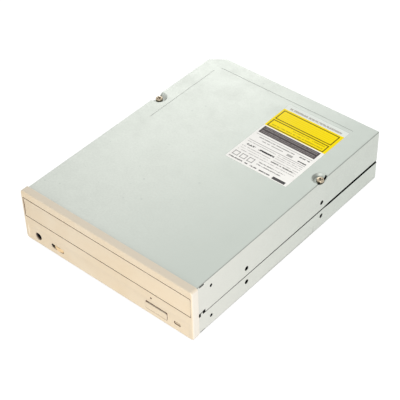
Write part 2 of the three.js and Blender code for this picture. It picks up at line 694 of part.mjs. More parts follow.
function loadingMotor() {
  const top = deck.bottom - gap;
  const bottom = top - motor.height;
  const can = columnZ(motorX, train.y, motor.radius, bottom, top, facet.round);
  const flats = block(
    [motorX - motor.radius, motorX + motor.radius], [train.y - motor.flat, train.y + motor.flat],
    [bottom, top],
  );
  const boss = columnZ(motorX, train.y, motor.boss, top - gap, top + motor.bossHeight);
  const shaft = columnZ(motorX, train.y, motor.shaft, top - gap, layer.highTop - gap, facet.small);
  return join(can.intersect(flats), boss, shaft);
}

// Straight-sided rack teeth along Y, pitch line at the rack's X
function trayRack() {
  const pitch = Math.PI * gear.module;
  const lean = Math.tan(THREE.MathUtils.degToRad(gear.pressure));
  const tip = rackX + gear.addendum * gear.module;
  const root = rackX - gear.dedendum * gear.module;
  const halfAt = (x) => (pitch - gear.backlash) * half * half - (x - rackX) * lean;
  const rear = trayRear - rack.rearInset;
  const points = [[root - rack.back, rack.front], [root, rack.front]];
  const first = Math.ceil((rack.front - train.y) / pitch) + half;
  const last = Math.floor((rear - train.y) / pitch);
  for (let i = first; i < last; i += 1) {
    const y = train.y + i * pitch;
    points.push([root, y - halfAt(root)], [tip, y - halfAt(tip)]);
    points.push([tip, y + halfAt(tip)], [root, y + halfAt(root)]);
  }
  points.push([root, rear], [root - rack.back, rear]);
  return raise(polygon(points), rack.bottom, tray.floorTop - tray.floor + gap);
}

function discTray() {
  const underside = tray.floorTop - tray.floor;
  const out = tray.top + overrun;
  const recess = disc.radius + tray.recessPlay;
  const smallRecess = disc.smallRadius + tray.recessPlay;
  const window = roundedOutline(
    [-tray.windowHalf, tray.windowHalf], [tray.windowFront, tray.windowRear], tray.windowHalf - tray.side,
  );
  const hollowFront = disc.centreY + recess + tray.side;
  const hollowSide = trayHalf - tray.side;
  const roof = tray.top - tray.rearRoof;
  const below = [underside - overrun, roof];
  let shape = cut(
    block([-trayHalf, trayHalf], [tray.front, trayRear], [underside, tray.top]),
    columnZ(0, disc.centreY, recess, tray.floorTop, out, facet.wide),
    columnZ(0, disc.centreY, smallRecess, tray.floorTop - tray.smallDepth, out, facet.wide),
    raise(window, underside - overrun, out),
    block([-hollowSide, hollowSide], [hollowFront, trayRear - tray.side], below),
  );
  for (const turn of [1, -1]) {
    const pocket = block(
      [turn * lugX - door.lugWidth, turn * lugX + door.lugWidth],
      [tray.front + tray.frontWall, tray.front + door.lugLength], below,
    );
    const lugReach = door.lugWidth * half + gap;
    const lugHole = block(
      [turn * lugX - lugReach, turn * lugX + lugReach],
      [tray.front - overrun, tray.front + door.lugLength + gap],
      [tray.floorTop, tray.floorTop + door.lugHeight + 2 * gap],
    );
    const skirt = block(
      sided(turn, trayHalf - tray.side, trayHalf), [deck.front, trayRear], [tray.sideBottom, underside + gap],
    );
    const runner = block(
      sided(turn, trayHalf - gap, trayHalf + tray.runner), [deck.front, trayRear],
      [tray.sideBottom, tray.sideBottom + tray.runnerThickness],
    );
    shape = cut(join(cut(shape, pocket), skirt, runner), lugHole);
  }
  return join(shape, trayRack(), camTrack(roof));
}

// L-shaped track under the tray, which frees the slider's pin along Y and guides it along X at home
function camTrack(roof) {
  const reach = cam.pin + cam.groovePlay;
  const x0 = camPinX - reach;
  const x1 = camPinX + reach;
  const end = camPinX + cam.travel + reach;
  const y0 = camMiddle - reach;
  const y1 = camMiddle + reach;
  const z = [cam.ribBottom, roof];
  const low = [cam.ribBottom, tray.floorTop - tray.smallDepth];
  const rear = trayRear - tray.side;
  const hollowFront = disc.centreY + disc.radius + tray.recessPlay + tray.side;
  const rib = cam.rib;
  return join(
    block([x0 - rib, x0], [y0 - rib, hollowFront], low),
    block([x1, x1 + rib], [y1, hollowFront], low),
    block([x0 - rib, x0], [hollowFront - gap, rear], z),
    block([x1, x1 + rib], [hollowFront - gap, rear], z),
    block([x0 - rib, end + rib], [y0 - rib, y0], low),
    block([x1, end + rib], [y1, y1 + rib], low),
    block([end, end + rib], [y0 - rib, y1 + rib], low),
  );
}

function loaderFrame() {
  const floorTop = frame.bottom + frame.floor;
  const openHalf = lift.half + frame.openPlay;
  const across = [-frameInner - gap, frameInner + gap];
  const deckZ = [deck.bottom, deck.bottom + deck.thickness];
  const noseSide = frameInner - rail.reach;
  let shape = cut(
    block(across, [frame.openFront, frameRear], [frame.bottom, floorTop]),
    block(
      [-openHalf, openHalf], [frame.openFront - overrun, lift.rear + frame.openRearPlay],
      [frame.bottom - overrun, floorTop + overrun],
    ),
  );
  shape = join(
    shape,
    block(across, [frameRear - frame.wall, frameRear], [frame.bottom, frame.rearTop]),
    block(across, [frame.front, deck.rear], deckZ),
    block([-noseSide, noseSide], [deck.front, frame.front + gap], deckZ),
    sliderLane(across),
  );
  for (const turn of [1, -1]) {
    shape = join(shape, frameSide(turn, floorTop));
    shape = cut(shape, frameBores(turn));
  }
  shape = cut(shape, block(
    [-bodySide, bodySide], [frameRear - frame.portLength, frameRear + overrun], [0, frame.portTop],
  ));
  const posts = [trayGearX, idlerX, pulleyX].map(
    (x) => columnZ(x, train.y, post.radius, deck.bottom + gap, post.top),
  );
  const motorHole = columnZ(motorX, train.y, motor.boss + gap, deckZ[0] - overrun, deckZ[1] + overrun);
  return cut(join(shape, posts), motorHole);
}

// Ledge with a lip along the deck's rear wall, on which the cam slider runs
function sliderLane(across) {
  const ledgeTop = cam.bottom - gap;
  const ledge = [ledgeTop - slide.ledge, ledgeTop];
  const lane = [cam.left - slide.lip, camRight + cam.travel + slide.lip];
  const lipFront = cam.front + cam.thickness + slide.lane;
  return [
    block(across, [deck.rear - deck.crossWall, deck.rear], [ledge[0], deck.bottom + gap]),
    block(lane, [deck.rear - gap, lipFront + slide.lip], ledge),
    block(lane, [lipFront, lipFront + slide.lip], [ledge[0], ledgeTop + slide.lipHeight]),
  ];
}

// One side wall with the rail that carries the tray, its hold-downs, two feet, a bearing, a boss and a latch
function frameSide(turn, floorTop) {
  const span = frameRear - frame.front;
  const seat = dimple.depth + sheet;
  const holdBottom = tray.sideBottom + tray.runnerThickness + gap;
  const bearing = block(
    sided(turn, pivotPostX, pivotPostX + pivotPost.width),
    [pivot.y - pivotPost.depth * half, pivot.y + pivotPost.depth * half], [floorTop - gap, pivotPost.top],
  );
  const pinHole = columnX(
    pivot.y, pivot.z, pivot.pin + gap,
    ...sided(turn, pivotPostX - overrun, pivotPostX + pivotPost.width + overrun),
  );
  const holds = holdDownShares.map((share) => block(
    sided(turn, frameInner - rail.holdReach, frameInner + gap),
    [frame.front + share * span, frame.front + share * span + rail.holdLength],
    [holdBottom, holdBottom + rail.holdThickness],
  ));
  return [
    block(sided(turn, frameInner, insideFace), [frame.front, frameRear], [frame.bottom, frame.top]),
    block(
      sided(turn, frameInner - rail.reach, frameInner + gap), [deck.front, frameRear],
      [rail.bottom, rail.bottom + rail.thickness],
    ),
    ...holds,
    columnZ(turn * dimpleX, dimple.front, foot.radius, seat, deck.bottom + gap),
    columnZ(turn * dimpleX, dimpleRear, foot.radius, seat, frame.bottom + gap),
    cut(bearing, pinHole),
    block(
      sided(turn, frameInner - frame.bossReach, insideFace),
      [dish.y - frame.bossHalf, dish.y + frame.bossHalf],
      [bossTop - frame.bossDepth - frame.floor, bossTop],
    ),
    latchArm(turn, latch.length + frame.earPlay, frame.front + gap, latchHole),
  ];
}

function frameBores(turn) {
  const seat = dimple.depth + sheet;
  const bossFloor = bossTop - frame.bossDepth - gap;
  return [
    columnZ(turn * dishX, dish.y, panScrew.shank + gap, bossFloor, body.height),
    ...[dimple.front, dimpleRear].map(
      (y) => columnZ(turn * dimpleX, y, dimple.hole, seat - overrun, seat + foot.radius, facet.tiny),
    ),
  ];
}

function camSlider() {
  const y = [cam.front, cam.front + cam.thickness];
  const radius = lift.camPin + cam.slotPlay;
  const high = lift.camPinZ;
  const low = camPinRestZ();
  const rise = Math.atan2(high - low, cam.travel);
  const slots = both((turn) => {
    const start = turn * lift.camPinX;
    const path = new THREE.Shape();
    path.absarc(start, low, radius, -Math.PI * half - rise, Math.PI * half - rise);
    path.absarc(start - cam.travel, high, radius, Math.PI * half - rise, Math.PI * 1.5 - rise);
    return carryY(path, y[0] - overrun, y[1] + overrun, facet.tiny);
  });
  const baseHalf = cam.pin + gap;
  return cut(
    join(
      block([cam.left, camRight], y, [cam.bottom, cam.top]),
      block([camPinX - baseHalf, camPinX + baseHalf], y, [cam.top - gap, cam.top + gap]),
      columnZ(camPinX, camMiddle, cam.pin, cam.top - gap, cam.pinTop),
    ),
    slots,
  );
}

// Height of the cam pins with the traverse lowered
function camPinRestZ() {
  const angle = THREE.MathUtils.degToRad(lift.angle);
  const arm = pivot.y - camMiddle;
  return pivot.z + (lift.camPinZ - pivot.z) * Math.cos(angle) - arm * Math.sin(angle);
}

function clampBridge() {
  const bottom = frame.top;
  const top = bottom + bridge.thickness;
  const flange = [bottom, top + bridge.flange];
  const shape = join(
    block([-insideFace, insideFace], [bridge.front, bridge.rear], [bottom, top]),
    block([-frameInner, frameInner], [bridge.front, bridge.front + bridge.thickness], flange),
    block([-frameInner, frameInner], [bridge.rear - bridge.thickness, bridge.rear], flange),
  );
  return cut(shape, columnZ(0, disc.centreY, bridge.hole, bottom - overrun, top + overrun, facet.large));
}

function clampPuck() {
  const flangeBottom = frame.top + bridge.thickness + gap;
  const flangeTop = flangeBottom + puck.flangeThickness;
  const profile = [
    [puck.recess, puck.bottom], [puck.hub, puck.bottom], [puck.hub, flangeBottom],
    [puck.flange, flangeBottom], [puck.flange, flangeTop], [puck.rim, flangeTop], [puck.rim, puck.top],
    [puck.rim - puck.rimWall, puck.top],
    [puck.rim - puck.rimWall, puck.top - puck.yokeDepth], [0, puck.top - puck.yokeDepth],
    [0, puck.bottom + puck.recessDepth], [puck.recess, puck.bottom + puck.recessDepth],
  ];
  return turned(profile, 0, disc.centreY, facet.large);
}

function clampYoke() {
  const radius = puck.rim - puck.rimWall - gap;
  const bottom = puck.top - puck.yokeDepth;
  return columnZ(0, disc.centreY, radius, bottom, puck.top - gap, facet.large);
}

function corners(make) {
  const places = [
    ['front_left', -1, damper.frontY], ['front_right', 1, damper.frontY],
    ['rear_left', -1, damper.rearY], ['rear_right', 1, damper.rearY],
  ];
  return places.map(([name, turn, y]) => make(name, turn * damper.x, y));
}

function liftFrame() {
  const plateTop = lift.bottom + lift.plate;
  const rimTop = lift.bottom + lift.rimHeight;
  const height = [0, body.height];
  const opening = block([-lift.innerHalf, lift.innerHalf], [lift.innerFront, lift.innerRear], height);
  const plate = block([-lift.half, lift.half], [lift.front, lift.rear], [lift.bottom, plateTop]);
  const rimSide = lift.half - lift.rim;
  const rim = cut(
    block([-lift.half, lift.half], [lift.front, lift.rear], [lift.bottom, rimTop]),
    block([-rimSide, rimSide], [lift.front + lift.rim, lift.rear - lift.rim], height),
  );
  const clearance = damper.radius + gap;
  const clearRim = corners((name, x, y) => columnZ(x, y, clearance, plateTop, body.height, facet.round));
  let shape = cut(join(cut(plate, opening), rim), clearRim);
  const pinEnd = pivotPostX + pivotPost.width - gap;
  const pins = both((turn) => columnX(pivot.y, pivot.z, pivot.pin, ...sided(turn, rimSide, pinEnd)));
  const bossHalf = lift.camPin + lift.rim;
  const cams = both((turn) => join(
    block(
      [turn * lift.camPinX - bossHalf, turn * lift.camPinX + bossHalf], [lift.front, lift.front + lift.rim],
      [lift.bottom, lift.camPinZ + bossHalf],
    ),
    columnY(
      turn * lift.camPinX, lift.camPinZ, lift.camPin, lift.front - lift.camPinLength, lift.front + gap,
    ),
  ));
  shape = join(shape, pins, cams);
  const bore = damperScrew.shank + gap;
  return cut(shape, corners((name, x, y) => columnZ(x, y, bore, ...height, facet.tiny)));
}

function damperBottom() {
  return lift.bottom + lift.plate + gap;
}

function damperPiece(x, y) {
  const z0 = damperBottom();
  const z1 = z0 + damper.height;
  const grooveBottom = chassis.bottom - gap;
  const grooveTop = chassis.bottom + chassis.thickness + gap;
  const profile = [
    [damper.bore, z0], [damper.radius, z0], [damper.radius, grooveBottom], [damper.waist, grooveBottom],
    [damper.waist, grooveTop], [damper.radius, grooveTop], [damper.radius, z1], [damper.bore, z1],
  ];
  return turned(profile, x, y, facet.tiny);
}

function damperScrewPiece(x, y) {
  const z1 = damperBottom() + damper.height + gap;
  const profile = [
    [0, z1 + damperScrew.headHeight], [0, lift.bottom + gap], [damperScrew.shank, lift.bottom + gap],
    [damperScrew.shank, z1], [damperScrew.head, z1], [damperScrew.head, z1 + damperScrew.headHeight * half],
    [damperScrew.shank, z1 + damperScrew.headHeight],
  ];
  return turned(profile, x, y, facet.tiny);
}

function traverseChassis() {
  const z0 = chassis.bottom;
  const z1 = chassis.bottom + chassis.thickness;
  const through = [z0 - overrun, z1 + overrun];
  let shape = block([-chassis.half, chassis.half], [chassis.front, chassis.rear], [z0, z1]);
  shape = join(shape, corners((name, x, y) => columnZ(x, y, chassis.ear, z0, z1, facet.round)));
  shape = cut(
    shape,
    corners((name, x, y) => columnZ(x, y, damper.waist + gap, ...through)),
    block([chassis.openLeft, chassis.openRight], [chassis.openFront, chassis.openRear], through),
    block(
      [chassis.openLeft, chassis.feedSlotRight], [chassis.feedSlotFront, chassis.openFront + overrun],
      through,
    ),
    columnZ(0, disc.centreY, chassis.motorHole, ...through, facet.large),
  );
  const tabZ = [z1 - gap, z1 + chassis.tabHeight];
  const tabs = both((turn) => {
    const x = [turn * rod.x - chassis.tabWidth * half, turn * rod.x + chassis.tabWidth * half];
    const hole = columnY(turn * rod.x, rod.z, rod.radius + gap, 0, body.depth);
    const frontTab = block(x, [chassis.openFront - chassis.thickness, chassis.openFront], tabZ);
    const rearTab = block(x, [chassis.openRear, chassis.openRear + chassis.thickness], tabZ);
    return [cut(frontTab, hole), cut(rearTab, hole)];
  });
  return join(shape, tabs.flat());
}

function guideRod(turn) {
  return columnY(turn * rod.x, rod.z, rod.radius, rod.front, rod.rear, facet.small);
}

function spindleBase() {
  const z0 = spindle.baseBottom;
  const z1 = z0 + spindle.base;
  const plate = block([-spindle.baseHalf, spindle.baseHalf], [spindle.baseFront, spindle.baseRear], [z0, z1]);
  const legTop = chassis.bottom - gap;
  const legs = both((turn) => [spindle.baseFront, spindle.baseRear - spindle.leg].map((y) => block(
    sided(turn, spindle.baseHalf - spindle.leg, spindle.baseHalf), [y, y + spindle.leg], [z0, legTop],
  )));
  const bush = columnZ(0, disc.centreY, spindle.bush, z0, spindle.bushTop);
  const bore = columnZ(0, disc.centreY, spindle.shaft + gap, z1 - gap, body.height);
  return cut(join(plate, legs.flat(), bush), bore);
}

function spindleRotor() {
  const shaftBottom = spindle.baseBottom + spindle.base;
  const profile = [
    [0, shaftBottom + gap], [spindle.shaft, shaftBottom + gap], [spindle.shaft, spindle.canBottom],
    [spindle.canRadius, spindle.canBottom], [spindle.canRadius, spindle.canTop - gap],
    [spindle.canRadius - gap, spindle.canTop],
    [spindle.shaft, spindle.canTop], [spindle.shaft, spindle.shaftTop], [0, spindle.shaftTop],
  ];
  return turned(profile, 0, disc.centreY, facet.large);
}

function turntable() {
  const bore = spindle.shaft + gap;
  const profile = [
    [bore, spindle.tableBottom], [spindle.tableRadius - gap, spindle.tableBottom],
    [spindle.tableRadius, spindle.tableBottom + gap],
    [spindle.tableRadius, spindle.tableTop], [bore, spindle.tableTop],
  ];
  return turned(profile, 0, disc.centreY, facet.large);
}

function turntablePad() {
  const bottom = spindle.tableTop + gap;
  const outer = spindle.tableRadius - gap;
  const inner = spindle.padInner;
  const profile = [[inner, bottom], [outer, bottom], [outer, disc.playing], [inner, disc.playing]];
  return turned(profile, 0, disc.centreY, facet.large);
}

function centringCone() {
  const bore = spindle.shaft + gap;
  const bottom = spindle.tableTop + gap;
  const profile = [
    [bore, bottom], [spindle.coneRadius, bottom], [spindle.coneRadius, disc.playing + gap],
    [spindle.coneTopRadius, spindle.coneTop], [bore, spindle.coneTop],
  ];
  return turned(profile, 0, disc.centreY, facet.round);
}

// The thread is one ridge whose height over the root follows the turn angle and the place along the screw
function leadScrew() {
  const length = feed.screwRear - feed.rear - gap;
  const sides = feed.sides;
  const rows = Math.round(length / feed.lead * feed.rowsPerTurn);
  const positions = [];
  const index = [];
  for (let row = 0; row <= rows; row += 1) {
    const y = feed.rear + gap + length * row / rows;
    for (let i = 0; i < sides; i += 1) {
      const angle = 2 * Math.PI * i / sides;
      const turns = (y - feed.rear) / feed.lead - i / sides;
      const wave = half + half * Math.cos(2 * Math.PI * turns);
      const radius = feed.root + (feed.screw - feed.root) * wave;
      positions.push(feed.x + radius * Math.cos(angle), y, feed.z + radius * Math.sin(angle));
    }
  }
  for (let row = 0; row < rows; row += 1) {
    for (let i = 0; i < sides; i += 1) {
      const a = row * sides + i;
      const b = row * sides + (i + 1) % sides;
      index.push(a, a + sides, b, b, a + sides, b + sides);
    }
  }
  for (let i = 1; i < sides - 1; i += 1) {
    const end = rows * sides;
    index.push(0, i, i + 1, end, end + i + 1, end + i);
  }
  const geometry = new THREE.BufferGeometry();
  geometry.setAttribute('position', new THREE.Float32BufferAttribute(positions, 3));
  geometry.setIndex(index);
  return solid(geometry);
}

function feedMotor() {
  return columnY(feed.x, feed.z, feed.radius, feed.front, feed.rear, facet.round);
}

function pickupBody() {
  const rear = pickup.front + pickup.length;
  const main = block([-pickup.half, pickup.half], [pickup.front, rear], [pickup.bottom, pickup.top]);
  const rodPlay = columnY(-rod.x, rod.z, rod.radius + gap, 0, body.depth);
  const bearingX = [-rod.x - pickup.bearing, -pickup.half + gap];
  const bearings = [pickup.front, rear - pickup.bearingLength].map(
    (y) => block(bearingX, [y, y + pickup.bearingLength], [pickup.bearingBottom, pickup.top]),
  );
  const forkMiddle = pickup.front + pickup.length * half;
  const forkY = [forkMiddle - pickup.forkLength * half, forkMiddle + pickup.forkLength * half];
  const slotZ = rod.radius + gap;
  const forkX = [pickup.half - gap, rod.x + rod.radius];
  const arms = [
    block(forkX, forkY, [rod.z - slotZ - pickup.fork, rod.z - slotZ]),
    block(forkX, forkY, [rod.z + slotZ, rod.z + slotZ + pickup.fork * half]),
  ];
  const hollow = columnZ(
    0, disc.centreY, spindle.tableRadius + pickup.well, spindle.canBottom - overrun, body.height, facet.large,
  );
  const lensWell = block(
    [-lens.holderHalf, lens.holderHalf], [pickup.lensY - lens.holderHalf, pickup.lensY + lens.holderHalf],
    [pickup.top - pickup.well, body.height],
  );
  return cut(join(main, bearings, arms), rodPlay, hollow, lensWell);
}

function leadScrewFollower() {
  const y = [pickup.followerFront, pickup.followerFront + pickup.followerLength];
  const top = feed.z - feed.screw - gap;
  const arm = block([-pickup.followerReach, -pickup.half - gap], y, [pickup.followerBottom, top]);
  const stop = block([feed.x + feed.screw + gap, -pickup.half - gap], y, [top - gap, top + feed.screw]);
  return join(arm, stop);
}

function lensHolder() {
  const reach = lens.holderHalf - gap;
  const shape = block(
    [-reach, reach], [pickup.lensY - reach, pickup.lensY + reach],
    [lens.holderBottom, lens.holderTop],
  );
  const bore = columnZ(
    0, pickup.lensY, lens.bore, lens.holderBottom - overrun, lens.holderTop + overrun, facet.round,
  );
  return cut(shape, bore);
}

function objectiveLens() {
  const profile = [
    [0, lens.bottom], [lens.radius, lens.bottom], [lens.radius, lens.rim],
    [lens.radius * lens.crownShare, lens.top - gap], [0, lens.top],
  ];
  return turned(profile, 0, pickup.lensY, facet.round);
}

function mainBoardPiece() {
  const z = [board.bottom, boardTop];
  const side = bodySide - mainBoard.inset;
  const tailSide = bodySide - mainBoard.tailInset;
  return join(
    block([-side, side], [mainBoard.front, mainBoardTail + gap], z),
    block([-tailSide, tailSide], [mainBoardTail, mainBoardRear], z),
  );
}

function frontBoardPiece() {
  const side = bodySide - frontBoard.inset;
  return block([-side, side], [frontBoard.front, frontBoard.rear], [board.bottom, boardTop]);
}

// A shroud open to the rear, with a row of pins standing on its floor
function socket(port, pinRows, roundPins = false) {
  const y0 = portRear - port.depth;
  const x = [port.x - port.width * half, port.x + port.width * half];
  const z = [boardTop, boardTop + port.height];
  const hollow = block(
    [x[0] + port.wall, x[1] - port.wall], [y0 + port.floor, portRear + overrun],
    [z[0] + port.wall, z[1] - port.wall],
  );
  const shell = cut(block(x, [y0, portRear], z), hollow);
  const middle = boardTop + port.height * half;
  const y = [y0 + port.floor - gap, y0 + port.floor + port.pinOut];
  const pins = [];
  for (let row = 0; row < pinRows; row += 1) {
    for (let i = 0; i < port.pins; i += 1) {
      const px = port.x + (i - (port.pins - 1) * half) * port.pitch;
      const pz = middle + (row - (pinRows - 1) * half) * port.pitch;
      const r = port.pin * half;
      pins.push(roundPins
        ? columnY(px, pz, port.pinRadius, ...y, facet.tiny)
        : block([px - r, px + r], y, [pz - r, pz + r]));
    }
  }
  return join(shell, pins);
}

function powerSocket() {
  const shell = socket(powerPort, 1, true);
  const top = boardTop + powerPort.height;
  const side = powerPort.width * half;
  const corner = powerPort.chamfer;
  const at = (turn, across, z) => [powerPort.x + turn * across, z];
  const cuts = both((turn) => carryY(polygon([
    at(turn, side, top - corner), at(turn, side + overrun, top - corner),
    at(turn, side + overrun, top + overrun), at(turn, side - corner, top + overrun),
    at(turn, side - corner, top),
  ]), portRear - powerPort.depth - overrun, portRear + overrun));
  const fill = both((turn) => carryY(polygon([
    at(turn, side, top - corner), at(turn, side - corner, top),
    at(turn, side - corner - powerPort.wall, top), at(turn, side, top - corner - powerPort.wall),
  ]), portRear - powerPort.depth, portRear));
  return cut(join(shell, fill), cuts);
}

function dataSocket() {
  const shell = socket(dataPort, 2);
  const key = dataPort.pitch;
  const top = boardTop + dataPort.height;
  const keyway = block(
    [dataPort.x - key, dataPort.x + key], [portRear - dataPort.pinOut, portRear + overrun],
    [top - dataPort.wall - gap, top + overrun],
  );
  return cut(shell, keyway);
}

function jumperBlock() {
  const y1 = portRear - jumperPort.pinOut;
  const x0 = jumperPort.x - jumperPort.width * half;
  const base = block(
    [x0, x0 + jumperPort.width], [y1 - jumperPort.base, y1], [boardTop, boardTop + jumperPort.height],
  );
  const r = jumperPort.pin * half;
  const pins = [];
  for (let row = 0; row < jumperPort.rows; row += 1) {
    for (let i = 0; i < jumperPort.columns; i += 1) {
      const x = x0 + (i + half) * jumperPort.width / jumperPort.columns;
      const z = boardTop + (row + half) * jumperPort.height / jumperPort.rows;
      pins.push(block([x - r, x + r], [y1 - gap, portRear], [z - r, z + r]));
    }
  }
  return join(base, pins);
}

function headphoneJack() {
  const x = [jackX - jack.width * half, jackX + jack.width * half];
  const shape = join(
    block(x, [jack.front, jack.rear], [boardTop, jack.top]),
    columnY(jackX, jack.z, jack.nose, jack.noseFront, jack.front + gap, facet.round),
  );
  const boreEnd = jack.noseFront + jack.boreDepth;
  return cut(shape, columnY(jackX, jack.z, jack.bore, jack.noseFront - overrun, boreEnd, facet.small));
}

function volumePot() {
  const top = slot.z - wheel.thickness * half - gap;
  const base = columnZ(slotX, wheel.axisY + pot.radius * half, pot.radius, boardTop, top, facet.round);
  const stem = columnZ(slotX, wheel.axisY, pot.post, boardTop, slot.z + wheel.thickness * half, facet.small);
  return join(base, stem);
}

function volumeWheel() {
  const points = [];
  for (let i = 0; i < wheel.ridges * 2; i += 1) {
    const angle = Math.PI * i / wheel.ridges;
    const radius = i % 2 ? wheel.radius - wheel.ridge : wheel.radius;
    points.push([slotX + radius * Math.cos(angle), wheel.axisY + radius * Math.sin(angle)]);
  }
  const z = [slot.z - wheel.thickness * half, slot.z + wheel.thickness * half];
  const bore = columnZ(slotX, wheel.axisY, wheel.bore, z[0] - overrun, z[1] + overrun);
  return cut(raise(polygon(points), ...z), bore);
}

function ejectButton() {
  const face = roundedOutline([buttonLeft, buttonRight], [button.bottom, button.top], button.round);
  const middle = (buttonLeft + buttonRight) * half;
  const z = (button.bottom + button.top) * half;
  const r = button.rod * half;
  return join(
    carryY(face, button.front, button.back, facet.corner),
    block(
      [buttonLeft - button.lip, buttonRight + button.lip],
      [button.back - gap * half, button.back + button.lipThickness],
      [button.bottom - button.lip, button.top + button.lip],
    ),
    block([middle - r, middle + r], [button.back, button.rodEnd], [z - r, z + r]),
  );
}

function ejectSwitchPiece() {
  const middle = (buttonLeft + buttonRight) * half;
  const z = (button.bottom + button.top) * half;
  const front = button.rodEnd + button.travel + gap + ejectSwitch.plungerOut;
  const w = ejectSwitch.width * half;
  const y = [front, front + ejectSwitch.depth];
  return join(
    block([middle - w, middle + w], y, [boardTop, boardTop + ejectSwitch.height]),
    columnY(middle, z, ejectSwitch.plunger, front - ejectSwitch.plungerOut, front + gap),
  );
}

function lampWindow() {
  return block([lampLeft, lampRight], [lamp.front, lamp.front + lamp.depth], [lamp.bottom, lamp.top]);
}

function statusLamp() {
  const x = (lampLeft + lampRight) * half;
  const z = (lamp.bottom + lamp.top) * half;
  const front = lamp.front + lamp.depth + gap;
  return join(
    columnY(x, z, lamp.radius, front, lamp.bodyRear, facet.small),
    block([x - lamp.radius, x + lamp.radius], [lamp.bodyRear - lamp.radius, lamp.bodyRear], [boardTop, z]),
  );
}

function coverScrew(turn) {
  const seat = body.height - dish.depth;
  const top = seat + panScrew.headHeight;
  const profile = [
    [0, seat - panScrew.length], [panScrew.shank, seat - panScrew.length], [panScrew.shank, seat],
    [panScrew.head, seat], [panScrew.head, seat + panScrew.headHeight * half],
    [panScrew.head * panScrew.crownShare, top], [0, top],
  ];
  const x = turn * dishX;
  const head = turned(profile, x, dish.y, facet.round);
  const arm = panScrew.crossSpan * half;
  const w = panScrew.crossWidth * half;
  const z = [top - panScrew.crossDepth, top + overrun];
  return cut(
    head,
    block([x - arm, x + arm], [dish.y - w, dish.y + w], z),
    block([x - w, x + w], [dish.y - arm, dish.y + arm], z),
  );
}

function chipPiece(chip) {
  const r = chip.size * half;
  return block([chip.x - r, chip.x + r], [chip.y - r, chip.y + r], [boardTop, boardTop + chip.height]);
}

function ribbonPiece() {
  const w = ribbon.width * half;
  return block(
    [ribbon.x - w, ribbon.x + w], [frontBoard.rear - ribbon.overlap, mainBoard.front + ribbon.overlap],
    [boardTop, boardTop + ribbon.thickness],
  );
}

function typeLabel() {
  const right = bodySide - label.rightInset;
  const rear = body.depth - label.rearInset;
  const z = [body.height, body.height + label.thickness];
  return block([right - label.width, right], [rear - label.length, rear], z);
}

add('top_cover', topCover(), 'galvanised');
add('bottom_cover', bottomCover(), 'galvanised');
add('cover_screw_left', coverScrew(-1), 'brass');
add('cover_screw_right', coverScrew(1), 'brass');
add('type_label', typeLabel(), 'paper');
add('front_bezel', bezelPiece(), 'bezel');
add('tray_door', trayDoor(), 'bezel');
add('eject_button', ejectButton(), 'bezel');
add('eject_switch', ejectSwitchPiece(), 'greyPlastic');
add('lamp_window', lampWindow(), 'lampWindow');
add('status_lamp', statusLamp(), 'whitePlastic');
add('headphone_jack', headphoneJack(), 'blackPlastic');
add('volume_wheel', volumeWheel(), 'bezel');
add('volume_pot', volumePot(), 'greyPlastic');
add('front_board', frontBoardPiece(), 'board');
add('front_ribbon', ribbonPiece(), 'ribbon');
add('main_board', mainBoardPiece(), 'board');
add('servo_chip', chipPiece(servoChip), 'chip');
add('decoder_chip', chipPiece(decoderChip), 'chip');
add('buffer_chip', chipPiece(bufferChip), 'chip');
add('data_connector', dataSocket(), 'blackPlastic');
add('power_connector', powerSocket(), 'whitePlastic');
add('audio_connector', socket(audioPort, 1), 'blackPlastic');
add('digital_audio_connector', socket(digitalPort, 1), 'blackPlastic');
add('jumper_block', jumperBlock(), 'blackPlastic');

add('loader_frame', loaderFrame(), 'blackPlastic');
add('disc_tray', discTray(), 'blackPlastic');
add('clamp_bridge', clampBridge(), 'galvanised');
add('clamp_puck', clampPuck(), 'whitePlastic');
add('clamp_yoke', clampYoke(), 'steel');
add('loading_motor', loadingMotor(), 'steel');
add('motor_pulley', motorPulley(), 'whitePlastic');
add('loading_belt', loadingBelt(), 'rubber');
add('pulley_gear', pulleyGear(), 'whitePlastic');
add('idler_gear', idlerGear(), 'whitePlastic');
add('tray_drive_gear', trayDriveGear(), 'whitePlastic');
add('cam_slider', camSlider(), 'whitePlastic');

tilted.position.set(0, pivot.y, pivot.z);
tilted.rotation.x = THREE.MathUtils.degToRad(lift.angle);
level.position.set(0, -pivot.y, -pivot.z);
tilted.add(level);
drive.add(tilted);
add('lift_frame', liftFrame(), 'greyPlastic', level);
add('traverse_chassis', traverseChassis(), 'galvanised', level);
corners((name, x, y) => add(`damper_${name}`, damperPiece(x, y), 'rubber', level));
corners((name, x, y) => add(`damper_screw_${name}`, damperScrewPiece(x, y), 'steel', level));
add('spindle_base', spindleBase(), 'galvanised', level);
add('spindle_rotor', spindleRotor(), 'steel', level);
add('turntable', turntable(), 'blackPlastic', level);
add('turntable_pad', turntablePad(), 'rubber', level);
add('centring_cone', centringCone(), 'whitePlastic', level);
add('guide_rod_main', guideRod(-1), 'steel', level);
add('guide_rod_sub', guideRod(1), 'steel', level);
add('feed_motor', feedMotor(), 'steel', level);
add('lead_screw', leadScrew(), 'steel', level);
add('pickup_body', pickupBody(), 'greyPlastic', level);
add('lead_screw_follower', leadScrewFollower(), 'whitePlastic', level);
add('lens_holder', lensHolder(), 'blackPlastic', level);
add('objective_lens', objectiveLens(), 'lens', level);

drive.position.y = bezel.thickness - (bezel.thickness + body.depth) * half;
const group = new THREE.Group();
group.add(drive);
export default group;
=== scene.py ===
"""CD-RW drive for a 5.25 inch bay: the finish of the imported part, a stage and a camera.

Everything is in metres in the part's own frame, +Z up and the front towards -Y. Pieces that show are made
anew from numpy surfaces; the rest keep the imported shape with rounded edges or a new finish.
"""

